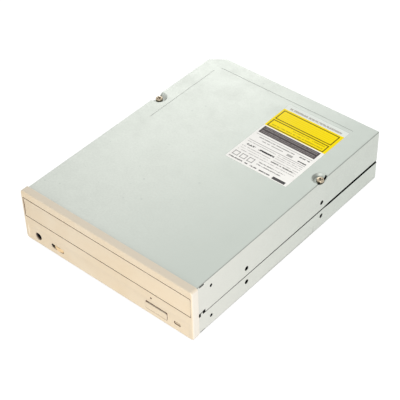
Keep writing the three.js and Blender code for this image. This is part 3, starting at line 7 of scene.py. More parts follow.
import json
import math
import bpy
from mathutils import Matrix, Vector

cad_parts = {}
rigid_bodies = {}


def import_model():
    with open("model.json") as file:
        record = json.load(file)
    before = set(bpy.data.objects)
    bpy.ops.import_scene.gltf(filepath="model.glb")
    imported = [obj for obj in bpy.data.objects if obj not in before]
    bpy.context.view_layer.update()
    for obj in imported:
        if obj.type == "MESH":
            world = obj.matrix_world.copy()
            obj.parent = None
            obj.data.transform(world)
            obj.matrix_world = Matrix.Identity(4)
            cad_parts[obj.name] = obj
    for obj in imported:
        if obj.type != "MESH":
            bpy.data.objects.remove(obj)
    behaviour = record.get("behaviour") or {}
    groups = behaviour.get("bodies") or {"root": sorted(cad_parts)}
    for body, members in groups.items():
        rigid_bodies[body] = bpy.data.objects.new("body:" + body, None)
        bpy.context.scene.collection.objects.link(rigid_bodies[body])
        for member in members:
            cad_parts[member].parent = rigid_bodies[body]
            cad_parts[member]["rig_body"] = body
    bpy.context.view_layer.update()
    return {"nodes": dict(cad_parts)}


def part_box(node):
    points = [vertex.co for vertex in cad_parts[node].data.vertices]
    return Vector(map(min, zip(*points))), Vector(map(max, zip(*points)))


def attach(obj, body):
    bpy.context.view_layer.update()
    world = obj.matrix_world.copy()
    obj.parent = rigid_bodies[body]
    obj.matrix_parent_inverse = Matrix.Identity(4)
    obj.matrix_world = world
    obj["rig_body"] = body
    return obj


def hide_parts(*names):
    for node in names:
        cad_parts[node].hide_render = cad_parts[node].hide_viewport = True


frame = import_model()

from types import SimpleNamespace

import bmesh
import bpy
import numpy as np
from bpy.props import FloatProperty, FloatVectorProperty, IntProperty, PointerProperty
from bpy.types import Operator, Panel, PropertyGroup
from mathutils import Matrix

bl_info = {
    "name": "CD-RW Drive",
    "version": (1, 0, 0),
    "blender": (4, 5, 0),
    "location": "View3D > Sidebar > Drive",
    "description": "Builds the finish of a half-height CD-RW drive around its packed part",
    "category": "Add Mesh",
}

MM = 0.001
OVER = MM  # how far a cutter reaches past what it cuts
MERGE = 0.002 * MM  # distance within which points are one
FLAT, SHARP = 0.002, math.radians(60)  # angles below which faces are joined, and above which an edge shows
QUARTER = math.pi / 2
UPRIGHT = [0, 1, 2]
ALONG_Y = [0, 2, 1]
ALONG_X = [2, 0, 1]

# Corners of the case and of the bezel, from the frame
CASE_LOW, CASE_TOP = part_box("bottom_cover")[0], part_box("top_cover")[1]
BEZEL_LOW, BEZEL_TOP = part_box("front_bezel")
FRONT = CASE_LOW.y
REAR = CASE_TOP.y
SIDE = CASE_TOP.x
HEIGHT = CASE_TOP.z
FACE = BEZEL_LOW.y
CORNERS = ("front_left", "front_right", "rear_left", "rear_right")


def mm(*sizes):
    """Sizes in metres from sizes in millimetres."""
    return tuple(size * MM for size in sizes)


def part(**sizes):
    """Named sizes of one part, given in millimetres."""
    return SimpleNamespace(**{name: size * MM for name, size in sizes.items()})


def display(red, green, blue):
    """Linear colour of a screen colour given from 0 to 255, by the usual screen curve."""
    share = np.array([red, green, blue]) / 255
    linear = np.where(share <= 0.04045, share / 12.92, ((share + 0.055) / 1.055) ** 2.4)
    return (*linear.tolist(), 1.0)


def length(label, millimetres, text):
    size = millimetres * MM
    return FloatProperty(name=label, description=text, default=size, unit="LENGTH", subtype="DISTANCE")


def angle(label, degrees, text):
    turn = math.radians(degrees)
    return FloatProperty(name=label, description=text, default=turn, unit="ROTATION", subtype="ANGLE")


def power(label, watts, text):
    return FloatProperty(name=label, description=text, default=watts, min=0, unit="POWER")


def colour(label, shade, text):
    return FloatVectorProperty(
        name=label, description=text, default=display(*shade), size=4, min=0, max=1, subtype="COLOR"
    )


class DriveCase(PropertyGroup):
    """Sizes of the two steel shells."""

    sheet: length("Sheet", 0.8, "Thickness of the steel sheet")
    bend: length("Bend radius", 0.85, "Outer radius of the long bends")
    corner: length("Corner radius", 1.3, "Radius of the upright corners")
    rim: length("Edge rounding", 0.16, "Rounding of the cut edges")
    chamfer_x: length("Chamfer across", 10.7, "Width of the cut-off rear corner")
    chamfer_y: length("Chamfer along", 8.4, "Length of the cut-off rear corner")
    hole: length("Mounting hole radius", 1.7, "Radius of the mounting holes")
    small_hole: length("Small hole radius", 1.25, "Radius of the small holes near the bezel")
    dish_inner: length("Dish floor radius", 3.6, "Radius of the flat floor of a screw dish")
    dish_outer: length("Dish rim radius", 6.1, "Radius at which a screw dish meets the roof")
    dish_depth: length("Dish depth", 2.2, "Depth of a screw dish")
    dimple_inner: length("Dimple floor radius", 3.6, "Radius of the flat floor of a dimple in the underside")
    dimple_outer: length("Dimple rim radius", 5.6, "Radius at which a dimple meets the underside")
    dimple_depth: length("Dimple depth", 1.2, "Depth of a dimple in the underside")


class DriveFront(PropertyGroup):
    """Sizes of the bezel, the door and the controls."""

    edge: length("Bezel edge radius", 0.95, "Rounding of the bezel's front edge")
    corner: length("Bezel corner radius", 2.2, "Radius of the bezel's four corners")
    rim: length("Opening rounding", 0.15, "Rounding of the edges of the bezel's openings")
    door_edge: length("Door edge radius", 0.25, "Rounding of the door's edges")
    button_edge: length("Button edge radius", 0.35, "Rounding of the eject button's edges")
    ridges: IntProperty(name="Wheel ridges", description="Ridges on the volume wheel", default=44, min=8)


class DriveColours(PropertyGroup):
    """Colours of the finishes."""

    steel: colour("Galvanised steel", (194, 199, 191), "Case sheet")
    smudge: colour("Smudge", (160, 168, 162), "Faint marks on the sheet")
    cream: colour("Bezel plastic", (224, 208, 182), "Front of the bezel, door and button")
    cream_deep: colour("Aged plastic", (217, 195, 161), "Yellowed tone of the bezel plastic")
    # The sides paler and the top darker than the bezel's front, laid on by the way each face points
    cream_side: colour("Paler plastic", (222, 215, 203), "Sides of the bezel, yellowed less")
    cream_top: colour("Dusty plastic", (212, 200, 180), "Top of the bezel")
    # Grime in specks, and the painted shade in the bezel's narrow gaps
    grime_and_shade: colour("Grime", (100, 54, 14), "Dirt in the narrow gaps")
    yellow: colour("Label yellow", (255, 228, 8), "Upper panels of the label")
    olive: colour("Label frame", (112, 96, 10), "Frames of the yellow panels")
    band: colour("Label band", (88, 80, 80), "Dark band of the label")
    paper: colour("Label paper", (247, 245, 240), "White of the label")
    ink: colour("Label ink", (58, 56, 58), "Rules and bars of the label")
    brass: colour("Passivated zinc", (180, 166, 144), "Case screws")
    tray: colour("Tray plastic", (22, 23, 25), "Tray and loader frame")
    board: colour("Circuit board", (30, 92, 52), "Solder mask of the boards")


class DriveStage(PropertyGroup):
    """Camera, lamps and floor."""

    azimuth: angle("Azimuth", 41.795, "Turn of the camera from the front towards the right side")
    elevation: angle("Elevation", 42.064, "Height angle of the camera")
    roll: angle("Roll", -1.814, "Tilt of the picture")
    distance: length("Distance", 872.18, "From the camera to its target")
    target: FloatVectorProperty(
        name="Target", description="Point that the camera looks at", size=3, unit="LENGTH",
        subtype="TRANSLATION", default=mm(-15.953, 11.989, -11.397),
    )
    focal: FloatProperty(
        name="Focal length", description="On a 36 mm film", default=110.99, min=1, unit="CAMERA",
    )
    floor: length("Floor", 6000, "Width of the floor")
    drop: length("Floor drop", 0.1, "How far the floor lies below the object")
    lamp: length("Lamp width", 600, "Width of the two square lamps")
    sky: FloatProperty(
        name="Sky", description="Strength of the white surroundings", default=0.72, min=0, subtype="FACTOR",
    )
    key: power("Key lamp", 7.2, "Power of the lamp at the front right")
    sheen: power("Sheen lamp", 3.8, "Power of the lamp at the rear left")


# Outlines, each an array of points with an array of the outward directions at them


def outline(corners, radius, steps):
    """A polygon, anticlockwise, whose corners are arcs.

    The centre of an arc lies where both sides meet when they are moved in by the radius.
    Its points turn about that centre from the direction of one side's normal to that of the next.
    """
    corners = np.array(corners, float)
    sides = np.roll(corners, -1, 0) - corners
    normals = np.stack([sides[:, 1], -sides[:, 0]], 1) / np.linalg.norm(sides, axis=1, keepdims=True)
    first = np.roll(normals, 1, 0)
    cosine = (first * normals).sum(1, keepdims=True)
    centres = corners - radius * (first + normals) / (1 + cosine)
    start = np.arctan2(first[:, 1], first[:, 0])
    turn = np.arctan2(first[:, 0] * normals[:, 1] - first[:, 1] * normals[:, 0], cosine[:, 0])
    angles = start[:, None] + turn[:, None] * np.linspace(0, 1, steps + 1)
    around = np.stack([np.cos(angles), np.sin(angles)], -1)
    points = centres[:, None] + radius * around
    return points.reshape(-1, 2), around.reshape(-1, 2)


def rectangle(left, right, low, high, radius, steps):
    return outline([(left, low), (right, low), (right, high), (left, high)], radius, steps)


def circle(a, b, radius, steps=48):
    """Points at equal angles about a centre."""
    angles = np.linspace(0, 2 * math.pi, steps, endpoint=False)
    around = np.stack([np.cos(angles), np.sin(angles)], -1)
    return np.array([a, b]) + radius * around, around


def rounded_edge(radius, height, direction, steps=6):
    """Rows of inset and height over a quarter circle: the inset grows from nothing to the radius."""
    turn = np.linspace(0, QUARTER, steps + 1)
    return np.stack([radius * (1 - np.cos(turn)), height - direction * radius * (1 - np.sin(turn))], 1)


def carried(shape, rows, axes=UPRIGHT):
    """Rings of points: each row moves the outline in along its normals by the inset, at the row's height."""
    points, normals = shape
    rows = np.asarray(rows, float)
    flat = points[None] - rows[:, 0, None, None] * normals[None]
    height = np.broadcast_to(rows[:, 1, None, None], flat.shape[:2] + (1,))
    return np.concatenate([flat, height], -1)[..., axes]


def turned(profile, centre, steps=64):
    """Rings about an upright axis: each profile row is a radius and a height."""
    profile = np.asarray(profile, float)
    angles = np.linspace(0, 2 * math.pi, steps, endpoint=False)
    a = centre[0] + profile[:, 0, None] * np.cos(angles)
    b = centre[1] + profile[:, 0, None] * np.sin(angles)
    height = np.broadcast_to(profile[:, 1, None], a.shape)
    return np.stack([a, b, height], -1)


def block(low, high):
    """A box between two corners, as two rings."""
    shape = rectangle(low[0], high[0], low[1], high[1], 0, 0)
    return carried(shape, [(0, low[2]), (0, high[2])])


def ease(low, high, values):
    """Rises smoothly from 0 at low to 1 at high: three times the square less twice the cube."""
    share = np.clip((values - low) / (high - low), 0, 1)
    return share * share * (3 - 2 * share)


# Meshes


def solid(name, *grids):
    """One mesh of closed grids: faces join each ring to the next, and one face closes each end."""
    points, faces, start = [], [], 0
    for grid in grids:
        rows, columns = grid.shape[:2]
        index = start + np.arange(rows * columns).reshape(rows, columns)
        following = np.roll(index, -1, 1)
        quads = np.stack([index[:-1], following[:-1], following[1:], index[1:]], -1).reshape(-1, 4)
        faces += quads.tolist() + [index[0].tolist(), index[-1].tolist()]
        points.append(grid.reshape(-1, 3))
        start += rows * columns
    mesh = bpy.data.meshes.new(name)
    mesh.from_pydata(np.concatenate(points), [], faces)
    tidy(mesh)
    piece = bpy.data.objects.new(name, mesh)
    bpy.context.scene.collection.objects.link(piece)
    return piece


def tidy(mesh, flat_angle=0.0):
    """Merges doubled points, joins flat faces where an angle is given, and turns the faces outwards."""
    shape = bmesh.new()
    shape.from_mesh(mesh)
    bmesh.ops.remove_doubles(shape, verts=shape.verts, dist=MERGE)
    if flat_angle:
        bmesh.ops.dissolve_limit(shape, angle_limit=flat_angle, verts=shape.verts, edges=shape.edges)
    bmesh.ops.recalc_face_normals(shape, faces=shape.faces)
    shape.to_mesh(mesh)
    shape.free()
    mesh.update()


def settle(piece):
    """Puts the result of the piece's modifiers into its mesh."""
    bpy.context.view_layer.update()
    graph = bpy.context.evaluated_depsgraph_get()
    mesh = bpy.data.meshes.new_from_object(
        piece.evaluated_get(graph), preserve_all_data_layers=True, depsgraph=graph,
    )
    piece.modifiers.clear()
    old = piece.data
    piece.data = mesh
    bpy.data.meshes.remove(old)
    mesh.name = piece.name
    return piece


def carve(piece, *cutters, joined=False):
    """Cuts other closed pieces out of the piece, or joins them to it."""
    for cutter in cutters:
        step = piece.modifiers.new("Carve", "BOOLEAN")
        step.operation = "UNION" if joined else "DIFFERENCE"
        step.solver = "EXACT"
        step.object = cutter
    settle(piece)
    for cutter in cutters:
        bpy.data.objects.remove(cutter, do_unlink=True)
    return piece


def soften(piece, width, steps=2, limit=0.6):
    """Rounds the sharp edges and shades the faces smoothly up to them."""
    tidy(piece.data, flat_angle=FLAT)
    step = piece.modifiers.new("Round", "BEVEL")
    step.width = width
    step.segments = steps
    step.limit_method = "ANGLE"
    step.angle_limit = limit
    step.use_clamp_overlap = True
    step.miter_outer = "MITER_ARC"
    even = piece.modifiers.new("Even", "WEIGHTED_NORMAL")
    even.keep_sharp = True
    piece.data.shade_smooth()
    piece.data.set_sharp_from_angle(angle=SHARP)
    return settle(piece)


def smooth(piece, limit=0.7):
    piece.data.shade_smooth()
    piece.data.set_sharp_from_angle(angle=limit)
    return piece


def dress(piece, body, slot, material, *nodes):
    """Gives a new piece its finish, its body and the CAD nodes that it stands for."""
    piece.data.materials.clear()
    piece.data.materials.append(material)
    if nodes:
        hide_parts(*nodes)
    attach(piece, body)
    return piece


def rounded_node(node, width, material, slot, cutter=None):
    """A copy of a CAD node with rounded edges, in the node's place, less what a cutter takes away."""
    source = frame["nodes"][node]
    piece = bpy.data.objects.new(f"{node}_finish", source.data.copy())
    bpy.context.scene.collection.objects.link(piece)
    body = source["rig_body"]
    for key in list(piece.keys()):
        del piece[key]
    tidy(piece.data)
    if cutter:
        carve(piece, cutter)
    soften(piece, width)
    return dress(piece, body, slot, material, node)


def paint(node, material):
    """Puts a finish on a CAD node that keeps its own mesh."""
    data = frame["nodes"][node].data
    data.materials.clear()
    data.materials.append(material)


# Shader nodes


def wire(tree, node, key, value):
    """Links a socket to a node's input, or sets the input to a value."""
    if isinstance(value, bpy.types.NodeSocket):
        tree.links.new(value, node.inputs[key])
    else:
        node.inputs[key].default_value = value


def add(tree, kind, values=None, **settings):
    """A node with its settings, whose inputs are given values or sockets by name or number."""
    node = tree.nodes.new(kind)
    for key, value in settings.items():
        setattr(node, key, value)
    for key, value in (values or {}).items():
        wire(tree, node, key, value)
    return node


def calculate(tree, operation, *values, clamp=False):
    node = add(tree, "ShaderNodeMath", dict(enumerate(values)), operation=operation, use_clamp=clamp)
    return node.outputs[0]


def times(tree, first, second):
    return calculate(tree, "MULTIPLY", first, second)


def measure(tree, operation, first, second):
    """The number that an operation on two vectors gives."""
    return add(tree, "ShaderNodeVectorMath", {0: first, 1: second}, operation=operation).outputs["Value"]


def mix(tree, share, first, second):
    return add(tree, "ShaderNodeMix", {0: share, 6: first, 7: second}, data_type="RGBA").outputs[2]


def noise(tree, place, scale, detail):
    return add(tree, "ShaderNodeTexNoise", {"Vector": place, "Scale": scale, "Detail": detail}).outputs[0]


def spread(tree, value, low, high, to_low=0, to_high=1, kind="LINEAR"):
    """Takes a value from between low and high to between two others, and holds it there."""
    return add(tree, "ShaderNodeMapRange", {
        "Value": value, "From Min": low, "From Max": high, "To Min": to_low, "To Max": to_high,
    }, interpolation_type=kind).outputs[0]


EFFECTS = {}


def effect(name, output, **inputs):
    """Keeps a function as the maker of a shared node group, which is built the first time it is used.

    An input of the group is a number where it has a value here, and otherwise a vector. The function gets
    the group's tree and inputs, and returns what the group puts out.
    """
    def keep(fill):
        def build():
            tree = bpy.data.node_groups.new(name, "ShaderNodeTree")
            for label, value in inputs.items():
                kind = "NodeSocketVector" if value is None else "NodeSocketFloat"
                socket = tree.interface.new_socket(name=label, in_out="INPUT", socket_type=kind)
                if value is not None:
                    socket.default_value = value
            tree.interface.new_socket(name=output, in_out="OUTPUT", socket_type="NodeSocketFloat")
            given = tree.nodes.new("NodeGroupInput").outputs
            result = tree.nodes.new("NodeGroupOutput").inputs
            tree.links.new(fill(tree, given), result[output])
            return tree
        EFFECTS[name] = build
        return fill
    return keep


@effect("Mottle", "Value", Place=None, Scale=20, Low=0, High=1)
def mottle(tree, given):
    """Two sizes of cloudy noise, spread between a low and a high value.

    The finer one has 4.7 times the scale and makes up two fifths of the sum.
    """
    broad = noise(tree, given["Place"], given["Scale"], 3)
    small = noise(tree, given["Place"], times(tree, given["Scale"], 4.7), 2)
    both = calculate(tree, "MULTIPLY_ADD", small, 0.4, times(tree, broad, 0.6))
    return spread(tree, both, 0.35, 0.65, given["Low"], given["High"])


@effect("Grain", "Height", Place=None, Size=0.4 * MM, Depth=0.01 * MM)
def grain(tree, given):
    """Fine even noise for moulded and rolled surfaces, as a height."""
    fine = noise(tree, given["Place"], calculate(tree, "DIVIDE", 1, given["Size"]), 2)
    return times(tree, fine, given["Depth"])


@effect("Specks", "Mask", Place=None, Scale=200, Size=0.15, Share=0.1)
def specks(tree, given):
    """Sparse round specks: near the centre of few Voronoi cells, chosen by the cell's random shade."""
    cell = add(tree, "ShaderNodeTexVoronoi", {"Vector": given["Place"], "Scale": given["Scale"]}).outputs
    near = spread(tree, cell["Distance"], given["Size"], 0, kind="SMOOTHSTEP")
    shade = add(tree, "ShaderNodeSeparateColor", {0: cell["Color"]}).outputs[0]
    return times(tree, near, calculate(tree, "LESS_THAN", shade, given["Share"]))


@effect("Spot", "Mask", Place=None, Centre=None, Radius=MM)
def spot(tree, given):
    """One soft spot about a place: one less the distance over the radius, eased."""
    away = measure(tree, "DISTANCE", given["Place"], given["Centre"])
    return spread(tree, away, given["Radius"], 0, kind="SMOOTHSTEP")


@effect("Panel", "Mask", Place=None, Left=-1, Right=1, Near=-1, Far=1, Soft=0.1 * MM)
def panel(tree, given):
    """A rectangle: the product of four soft steps at its sides, each a metre away where it isn't given."""
    place = add(tree, "ShaderNodeSeparateXYZ", {0: given["Place"]}).outputs
    mask = 1
    for axis, low, high in ((0, "Left", "Right"), (1, "Near", "Far")):
        for first, second in ((place[axis], given[low]), (given[high], place[axis])):
            inside = calculate(tree, "DIVIDE", calculate(tree, "SUBTRACT", first, second), given["Soft"])
            mask = times(tree, mask, calculate(tree, "ADD", inside, 0.5, clamp=True))
    return mask


@effect("Rubbed edges", "Mask", Radius=0.4 * MM)
def rubbed_edges(tree, given):
    """Whether an edge is near: the normal bent within a radius against the true one."""
    bent = add(tree, "ShaderNodeBevel", {"Radius": given["Radius"]}, samples=4).outputs[0]
    true = add(tree, "ShaderNodeNewGeometry").outputs["Normal"]
    return spread(tree, measure(tree, "DOT_PRODUCT", bent, true), 0.99, 0.8)


@effect("Crevice", "Mask", Reach=MM, Start=0.3)
def crevice(tree, given):
    """How closed in a place is: the share of the sky that is hidden within a short reach, steepened."""
    sky = add(tree, "ShaderNodeAmbientOcclusion", {"Distance": given["Reach"]}, samples=8).outputs["AO"]
    return spread(tree, calculate(tree, "SUBTRACT", 1, sky), given["Start"], 0.55)


@effect("Facing", "Mask", First=None, Second=None)
def facing(tree, given):
    """How much a surface faces along two of the object's axes: the product of both parts of its normal."""
    normal = add(tree, "ShaderNodeNewGeometry").outputs["Normal"]
    local = add(
        tree, "ShaderNodeVectorTransform", {0: normal},
        vector_type="NORMAL", convert_from="WORLD", convert_to="OBJECT",
    ).outputs[0]
    first, second = [
        calculate(tree, "ABSOLUTE", measure(tree, "DOT_PRODUCT", local, given[axis]))
        for axis in ("First", "Second")
    ]
    return times(tree, first, second)


class Finish:
    """A material in the making: one Principled shader, whose base colour is laid on in coats."""

    def __init__(self, name, base, **constants):
        self.material = bpy.data.materials.new(name)
        self.material.use_nodes = True
        self.tree = self.material.node_tree
        self.tree.nodes.clear()
        self.shader = add(self.tree, "ShaderNodeBsdfPrincipled")
        for key, value in constants.items():
            self.shader.inputs[key.replace("_", " ")].default_value = value
        add(self.tree, "ShaderNodeOutputMaterial", {"Surface": self.shader.outputs[0]})
        self.place = add(self.tree, "ShaderNodeTexCoord").outputs["Object"]
        self.base = tuple(base)

    def effect(self, name, **values):
        """A shared effect, at the object's own coordinates unless another place is given."""
        shared = bpy.data.node_groups.get(name) or EFFECTS[name]()
        node = add(self.tree, "ShaderNodeGroup", node_tree=shared)
        if "Place" in node.inputs:
            values = {"Place": self.place, **values}
        for key, value in values.items():
            wire(self.tree, node, key, value)
        return node.outputs[0]

    def facing(self, first, second=None):
        """How much the surface faces along one axis, or along two."""
        return self.effect("Facing", First=first, Second=second or first)

    def mottled(self, scale, low, high):
        """Cloudy noise between a low and a high value."""
        return self.effect("Mottle", Scale=scale, Low=low, High=high)

    def mapped(self, **values):
        """The object's coordinates, moved or stretched."""
        return add(self.tree, "ShaderNodeMapping", {"Vector": self.place, **values}).outputs[0]

    def tone(self, share):
        """Scales the base colour by a share."""
        values = {0: self.base[:3], "Scale": share}
        self.base = add(self.tree, "ShaderNodeVectorMath", values, operation="SCALE").outputs[0]

    def coat(self, mask, shade, strength=1):
        """Lays a colour over the base where the mask shows it."""
        if strength != 1:
            mask = times(self.tree, mask, strength)
        self.base = mix(self.tree, mask, self.base, tuple(shade))

    def done(self, gloss, texture=None, place=None, ripple=None):
        """Links the base colour, a mottled gloss and, as a bump, a grain of a size and a depth."""
        links = {"Base Color": self.base, "Roughness": self.mottled(*gloss)}
        if texture:
            size, depth = texture
            place = self.place if place is None else place
            height = self.effect("Grain", Place=place, Size=size, Depth=depth)
            if ripple is not None:
                height = calculate(self.tree, "ADD", ripple, height)
            values = {"Strength": 1, "Distance": 1, "Height": height}
            links["Normal"] = add(self.tree, "ShaderNodeBump", values).outputs[0]
        for key, socket in links.items():
            self.tree.links.new(socket, self.shader.inputs[key])
        return self.material


# Finishes

ACROSS = (1, 0, 0)
UP = (0, 0, 1)

# Faint marks on the roof, as places from the middle and the bezel, with their sizes, in millimetres
ROOF_MARKS = (
    (-19, 54, 1.3), (-59, 16, 1.0), (-17, 32, 0.9), (60, 29, 0.9), (-69, 12, 1.0), (15, 179, 1.2),
    (-42, 129, 1.0), (-58, 39, 0.8), (-40, 33, 0.7), (-30, 62, 0.7), (12, 74, 1.6), (38, 58, 0.8),
    (-63, 68, 0.8), (-12, 96, 0.7),
)
MARK_STRENGTH = 0.55

# Painted shade about the front slit and the latch in the side walls: near, far, low and high end, and
# softness
SHADED_GAPS = (
    (FRONT + 2.4 * MM, FRONT + 6.7 * MM, HEIGHT - 1.45 * MM, HEIGHT - 0.4 * MM, 0.1 * MM),
    (FRONT + 2.6 * MM, FRONT + 5.2 * MM, 17.05 * MM, 17.85 * MM, 0.05 * MM),
)


def galvanised(shades):
    """Pale zinc-coated sheet: cloudy satin tone, fine rolled grain, few specks and smudges.

    The roof has painted shade towards the right, the walls painted light towards the front, the long bends a
    painted dark line of shade, and the walls about the slit and the latch and all deep gaps painted shade.
    """
    painted_roof_shade, painted_wall_light = display(185, 192, 184), display(209, 209, 201)
    bend_shade, gap_shade, crevice_shade = display(120, 124, 118), display(30, 31, 30), display(14, 15, 14)
    steel = Finish("galvanised_sheet", shades.steel, Metallic=0.35, IOR=1.6)
    tree = steel.tree
    crystals = add(tree, "ShaderNodeTexVoronoi", {"Vector": steel.place, "Scale": 160}).outputs["Color"]
    crystal = add(tree, "ShaderNodeSeparateColor", {0: crystals}).outputs[0]
    spangle = spread(tree, crystal, 0, 1, 0.985, 1.015)
    cloud = steel.mottled(30, 0.985, 1.015)
    steel.tone(times(tree, times(tree, cloud, spangle), steel.mottled(700, 0.95, 1.045)))
    marks = times(tree, steel.effect("Specks", Scale=130, Size=0.17, Share=0.11), 0.5)
    for x, y, size in ROOF_MARKS:
        mark = steel.effect("Spot", Centre=(x * MM, FRONT + y * MM, HEIGHT), Radius=size * MM)
        marks = calculate(tree, "MAXIMUM", marks, times(tree, mark, MARK_STRENGTH))
    steel.coat(marks, shades.smudge)
    # Painted shade: the roof darker towards the right, in place of the fall of the light
    roof_shade_mask = steel.effect("Panel", Left=20 * MM, Soft=80 * MM)
    steel.coat(times(tree, roof_shade_mask, steel.facing(UP)), painted_roof_shade)
    parts = add(tree, "ShaderNodeSeparateXYZ", {0: steel.place}).outputs
    wall = add(tree, "ShaderNodeCombineXYZ", {0: parts[1], 1: parts[2]}).outputs[0]
    # Painted light: the side walls brighter towards the front, nearer the key lamp
    wall_light_mask = steel.effect("Panel", Place=wall, Right=FRONT + 75 * MM, Soft=150 * MM)
    steel.coat(times(tree, wall_light_mask, steel.facing(ACROSS)), painted_wall_light)
    # Painted shade: a dark line along the long bends, where the faces point halfway between up and across
    steel.coat(spread(tree, steel.facing(ACROSS, UP), 0.34, 0.48, 0, 0.8), bend_shade)
    # Painted shade, nearly black, over the walls about the slit and the latch
    for near, far, low, high, soft in SHADED_GAPS:
        edge = steel.effect("Panel", Place=wall, Left=near, Right=far, Near=low, Far=high, Soft=soft)
        steel.coat(edge, gap_shade, 0.9)
    # Painted shade: nearly black where other surfaces hide the sky within a short reach, in the holes and
    # gaps
    steel.coat(steel.effect("Crevice", Reach=3.5 * MM, Start=0.36), crevice_shade, 0.97)
    ripple = steel.mottled(14, 0, 0.01 * MM)
    return steel.done((60, 0.36, 0.48), mm(0.5, 0.004), ripple=ripple)


def moulded(name, shade, deep, roughness, depth, wear=0.25, worn=None, index=1.5):
    """Moulded plastic: an even tone that drifts to a deeper one, a fine grain, and paler edges."""
    plastic = Finish(name, shade, IOR=index)
    plastic.coat(plastic.mottled(18, 0, 0.55), deep)
    pale = worn or (*[min(1, part * 1.15 + 0.02) for part in shade[:3]], 1)
    plastic.coat(plastic.effect("Rubbed edges", Radius=0.4 * MM), pale, wear)
    return plastic.done((90, roughness - 0.05, roughness + 0.06), (0.3 * MM, depth))


def cream(shades):
    """Beige bezel plastic, yellowed in patches, paler on its sides and darker on its top, with grime and
    painted shade in the narrow gaps.
    """
    rubbed = display(248, 240, 226)
    plastic = Finish("bezel_plastic", shades.cream, IOR=1.48)
    plastic.coat(plastic.mottled(16, 0, 0.6), shades.cream_deep)
    # Paler on the faces along X, darker on the faces that point up
    plastic.coat(plastic.facing(ACROSS), shades.cream_side)
    plastic.coat(plastic.facing(UP), shades.cream_top)
    plastic.coat(plastic.effect("Rubbed edges", Radius=0.5 * MM), rubbed, 0.3)
    plastic.coat(plastic.effect("Specks", Scale=300, Size=0.2, Share=0.03), shades.grime_and_shade, 0.2)
    # Grime and painted shade: the grime colour at full strength where the bezel is closed in, darkening gaps,
    # holes and pocket
    plastic.coat(plastic.effect("Crevice", Reach=2 * MM, Start=0.22), shades.grime_and_shade)
    return plastic.done((90, 0.42, 0.53), mm(0.35, 0.005))


def metal(name, shade, roughness, brushed=0.0):
    """Bare or plated metal: a small drift in tone and gloss, painted shade in its recesses, and fine lines
    along X where it is brushed.
    """
    recess_shade = display(52, 42, 34)
    plated = Finish(name, shade, Metallic=1)
    plated.tone(plated.mottled(150, 0.9, 1.06))
    # Painted shade, dark brown, in the recesses, such as a screw's cross
    plated.coat(plated.effect("Crevice", Reach=1.5 * MM, Start=0.2), recess_shade, 0.85)
    gloss = (300, roughness * 0.8, roughness * 1.3)
    return plated.done(gloss, mm(0.6, 0.004), place=plated.mapped(Scale=(1 - brushed, 1, 1)))


def circuit(shades):
    """Green solder mask over straight traces, with pale pads."""
    board = Finish("circuit_board", shades.board, IOR=1.5, Coat_Weight=0.3)
    black, white = (0, 0, 0, 1), (1, 1, 1, 1)
    masked, pad = display(78, 150, 96), display(196, 190, 170)
    lines = add(board.tree, "ShaderNodeTexBrick", {
        "Vector": board.place, "Scale": 240, "Mortar Size": 0.09,
        "Color1": black, "Color2": black, "Mortar": white,
    }).outputs[0]
    trace = add(board.tree, "ShaderNodeSeparateColor", {0: lines}).outputs[0]
    board.coat(trace, masked, 0.35)
    board.coat(board.effect("Specks", Scale=420, Size=0.3, Share=0.25), pad)
    return board.done((120, 0.3, 0.45), mm(0.8, 0.01))


def see_through(name, shade, other, scale, gloss, **constants):
    """Clear or smoky plastic or glass, which drifts between two shades."""
    clear = Finish(name, shade, **constants)
    clear.coat(clear.mottled(scale, 0, 1), other)
    return clear.done(gloss)


def printed_label(shades):
    """White sticker, with everything that is printed on it laid over the paper in turn."""
    label = Finish("label_print", shades.paper, IOR=1.14)
    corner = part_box("type_label")[0]
    on_sticker = label.mapped(Location=(-corner.x, -corner.y, 0))
    label.tone(label.mottled(60, 0.97, 1.02))
    for left, right, near, far, shade, strength, dash in label_print(shades):
        mask = label.effect(
            "Panel", Place=on_sticker, Left=left * MM, Right=right * MM, Near=near * MM, Far=far * MM,
            Soft=0.12 * MM,
        )
        if dash:
            shown = spread(label.tree, noise(label.tree, on_sticker, 1 / (dash * MM), 1), 0.36, 0.46)
            mask = times(label.tree, mask, shown)
        label.coat(mask, shade, strength)
    return label.done((80, 0.36, 0.5), mm(0.6, 0.004))


def ruled(left, right, near, far, line, shade, strength=1.0):
    """The four sides of a ruled frame."""
    return [
        (left, right, near, near + line, shade, strength, 0),
        (left, right, far - line, far, shade, strength, 0),
        (left, left + line, near, far, shade, strength, 0),
        (right - line, right, near, far, shade, strength, 0),
    ]


# Rows of plain dark bars on the label: left, right, near, height and strength, in millimetres
BARS = (
    (6, 36, 29, 0.8, 0.4), (40, 48.5, 29, 1.0, 0.5), (10, 28, 26.4, 0.9, 0.3), (41.5, 48.5, 25, 1.0, 0.55),
    (2, 26, 21.4, 0.7, 0.25), (28, 49, 21.6, 0.7, 0.25), (28, 49, 19.8, 0.7, 0.25), (28, 49, 18, 0.7, 0.2),
    (4, 11, 17.9, 1.5, 0.6), (14, 27, 17.9, 1.5, 0.6), (2, 26, 15.4, 0.7, 0.25), (28, 49, 15.6, 0.7, 0.25),
    (28, 49, 13.4, 1.0, 0.5), (2, 26, 13.2, 0.7, 0.2), (2, 49, 11, 0.7, 0.25), (22, 44, 8, 0.9, 0.4),
    (22, 42, 5.6, 0.9, 0.4), (1.6, 13, 1.6, 1.0, 0.5), (15, 17.5, 1.6, 1.0, 0.5), (19.5, 25, 1.6, 1.0, 0.5),
    (27, 36, 1.6, 1.0, 0.5),
)


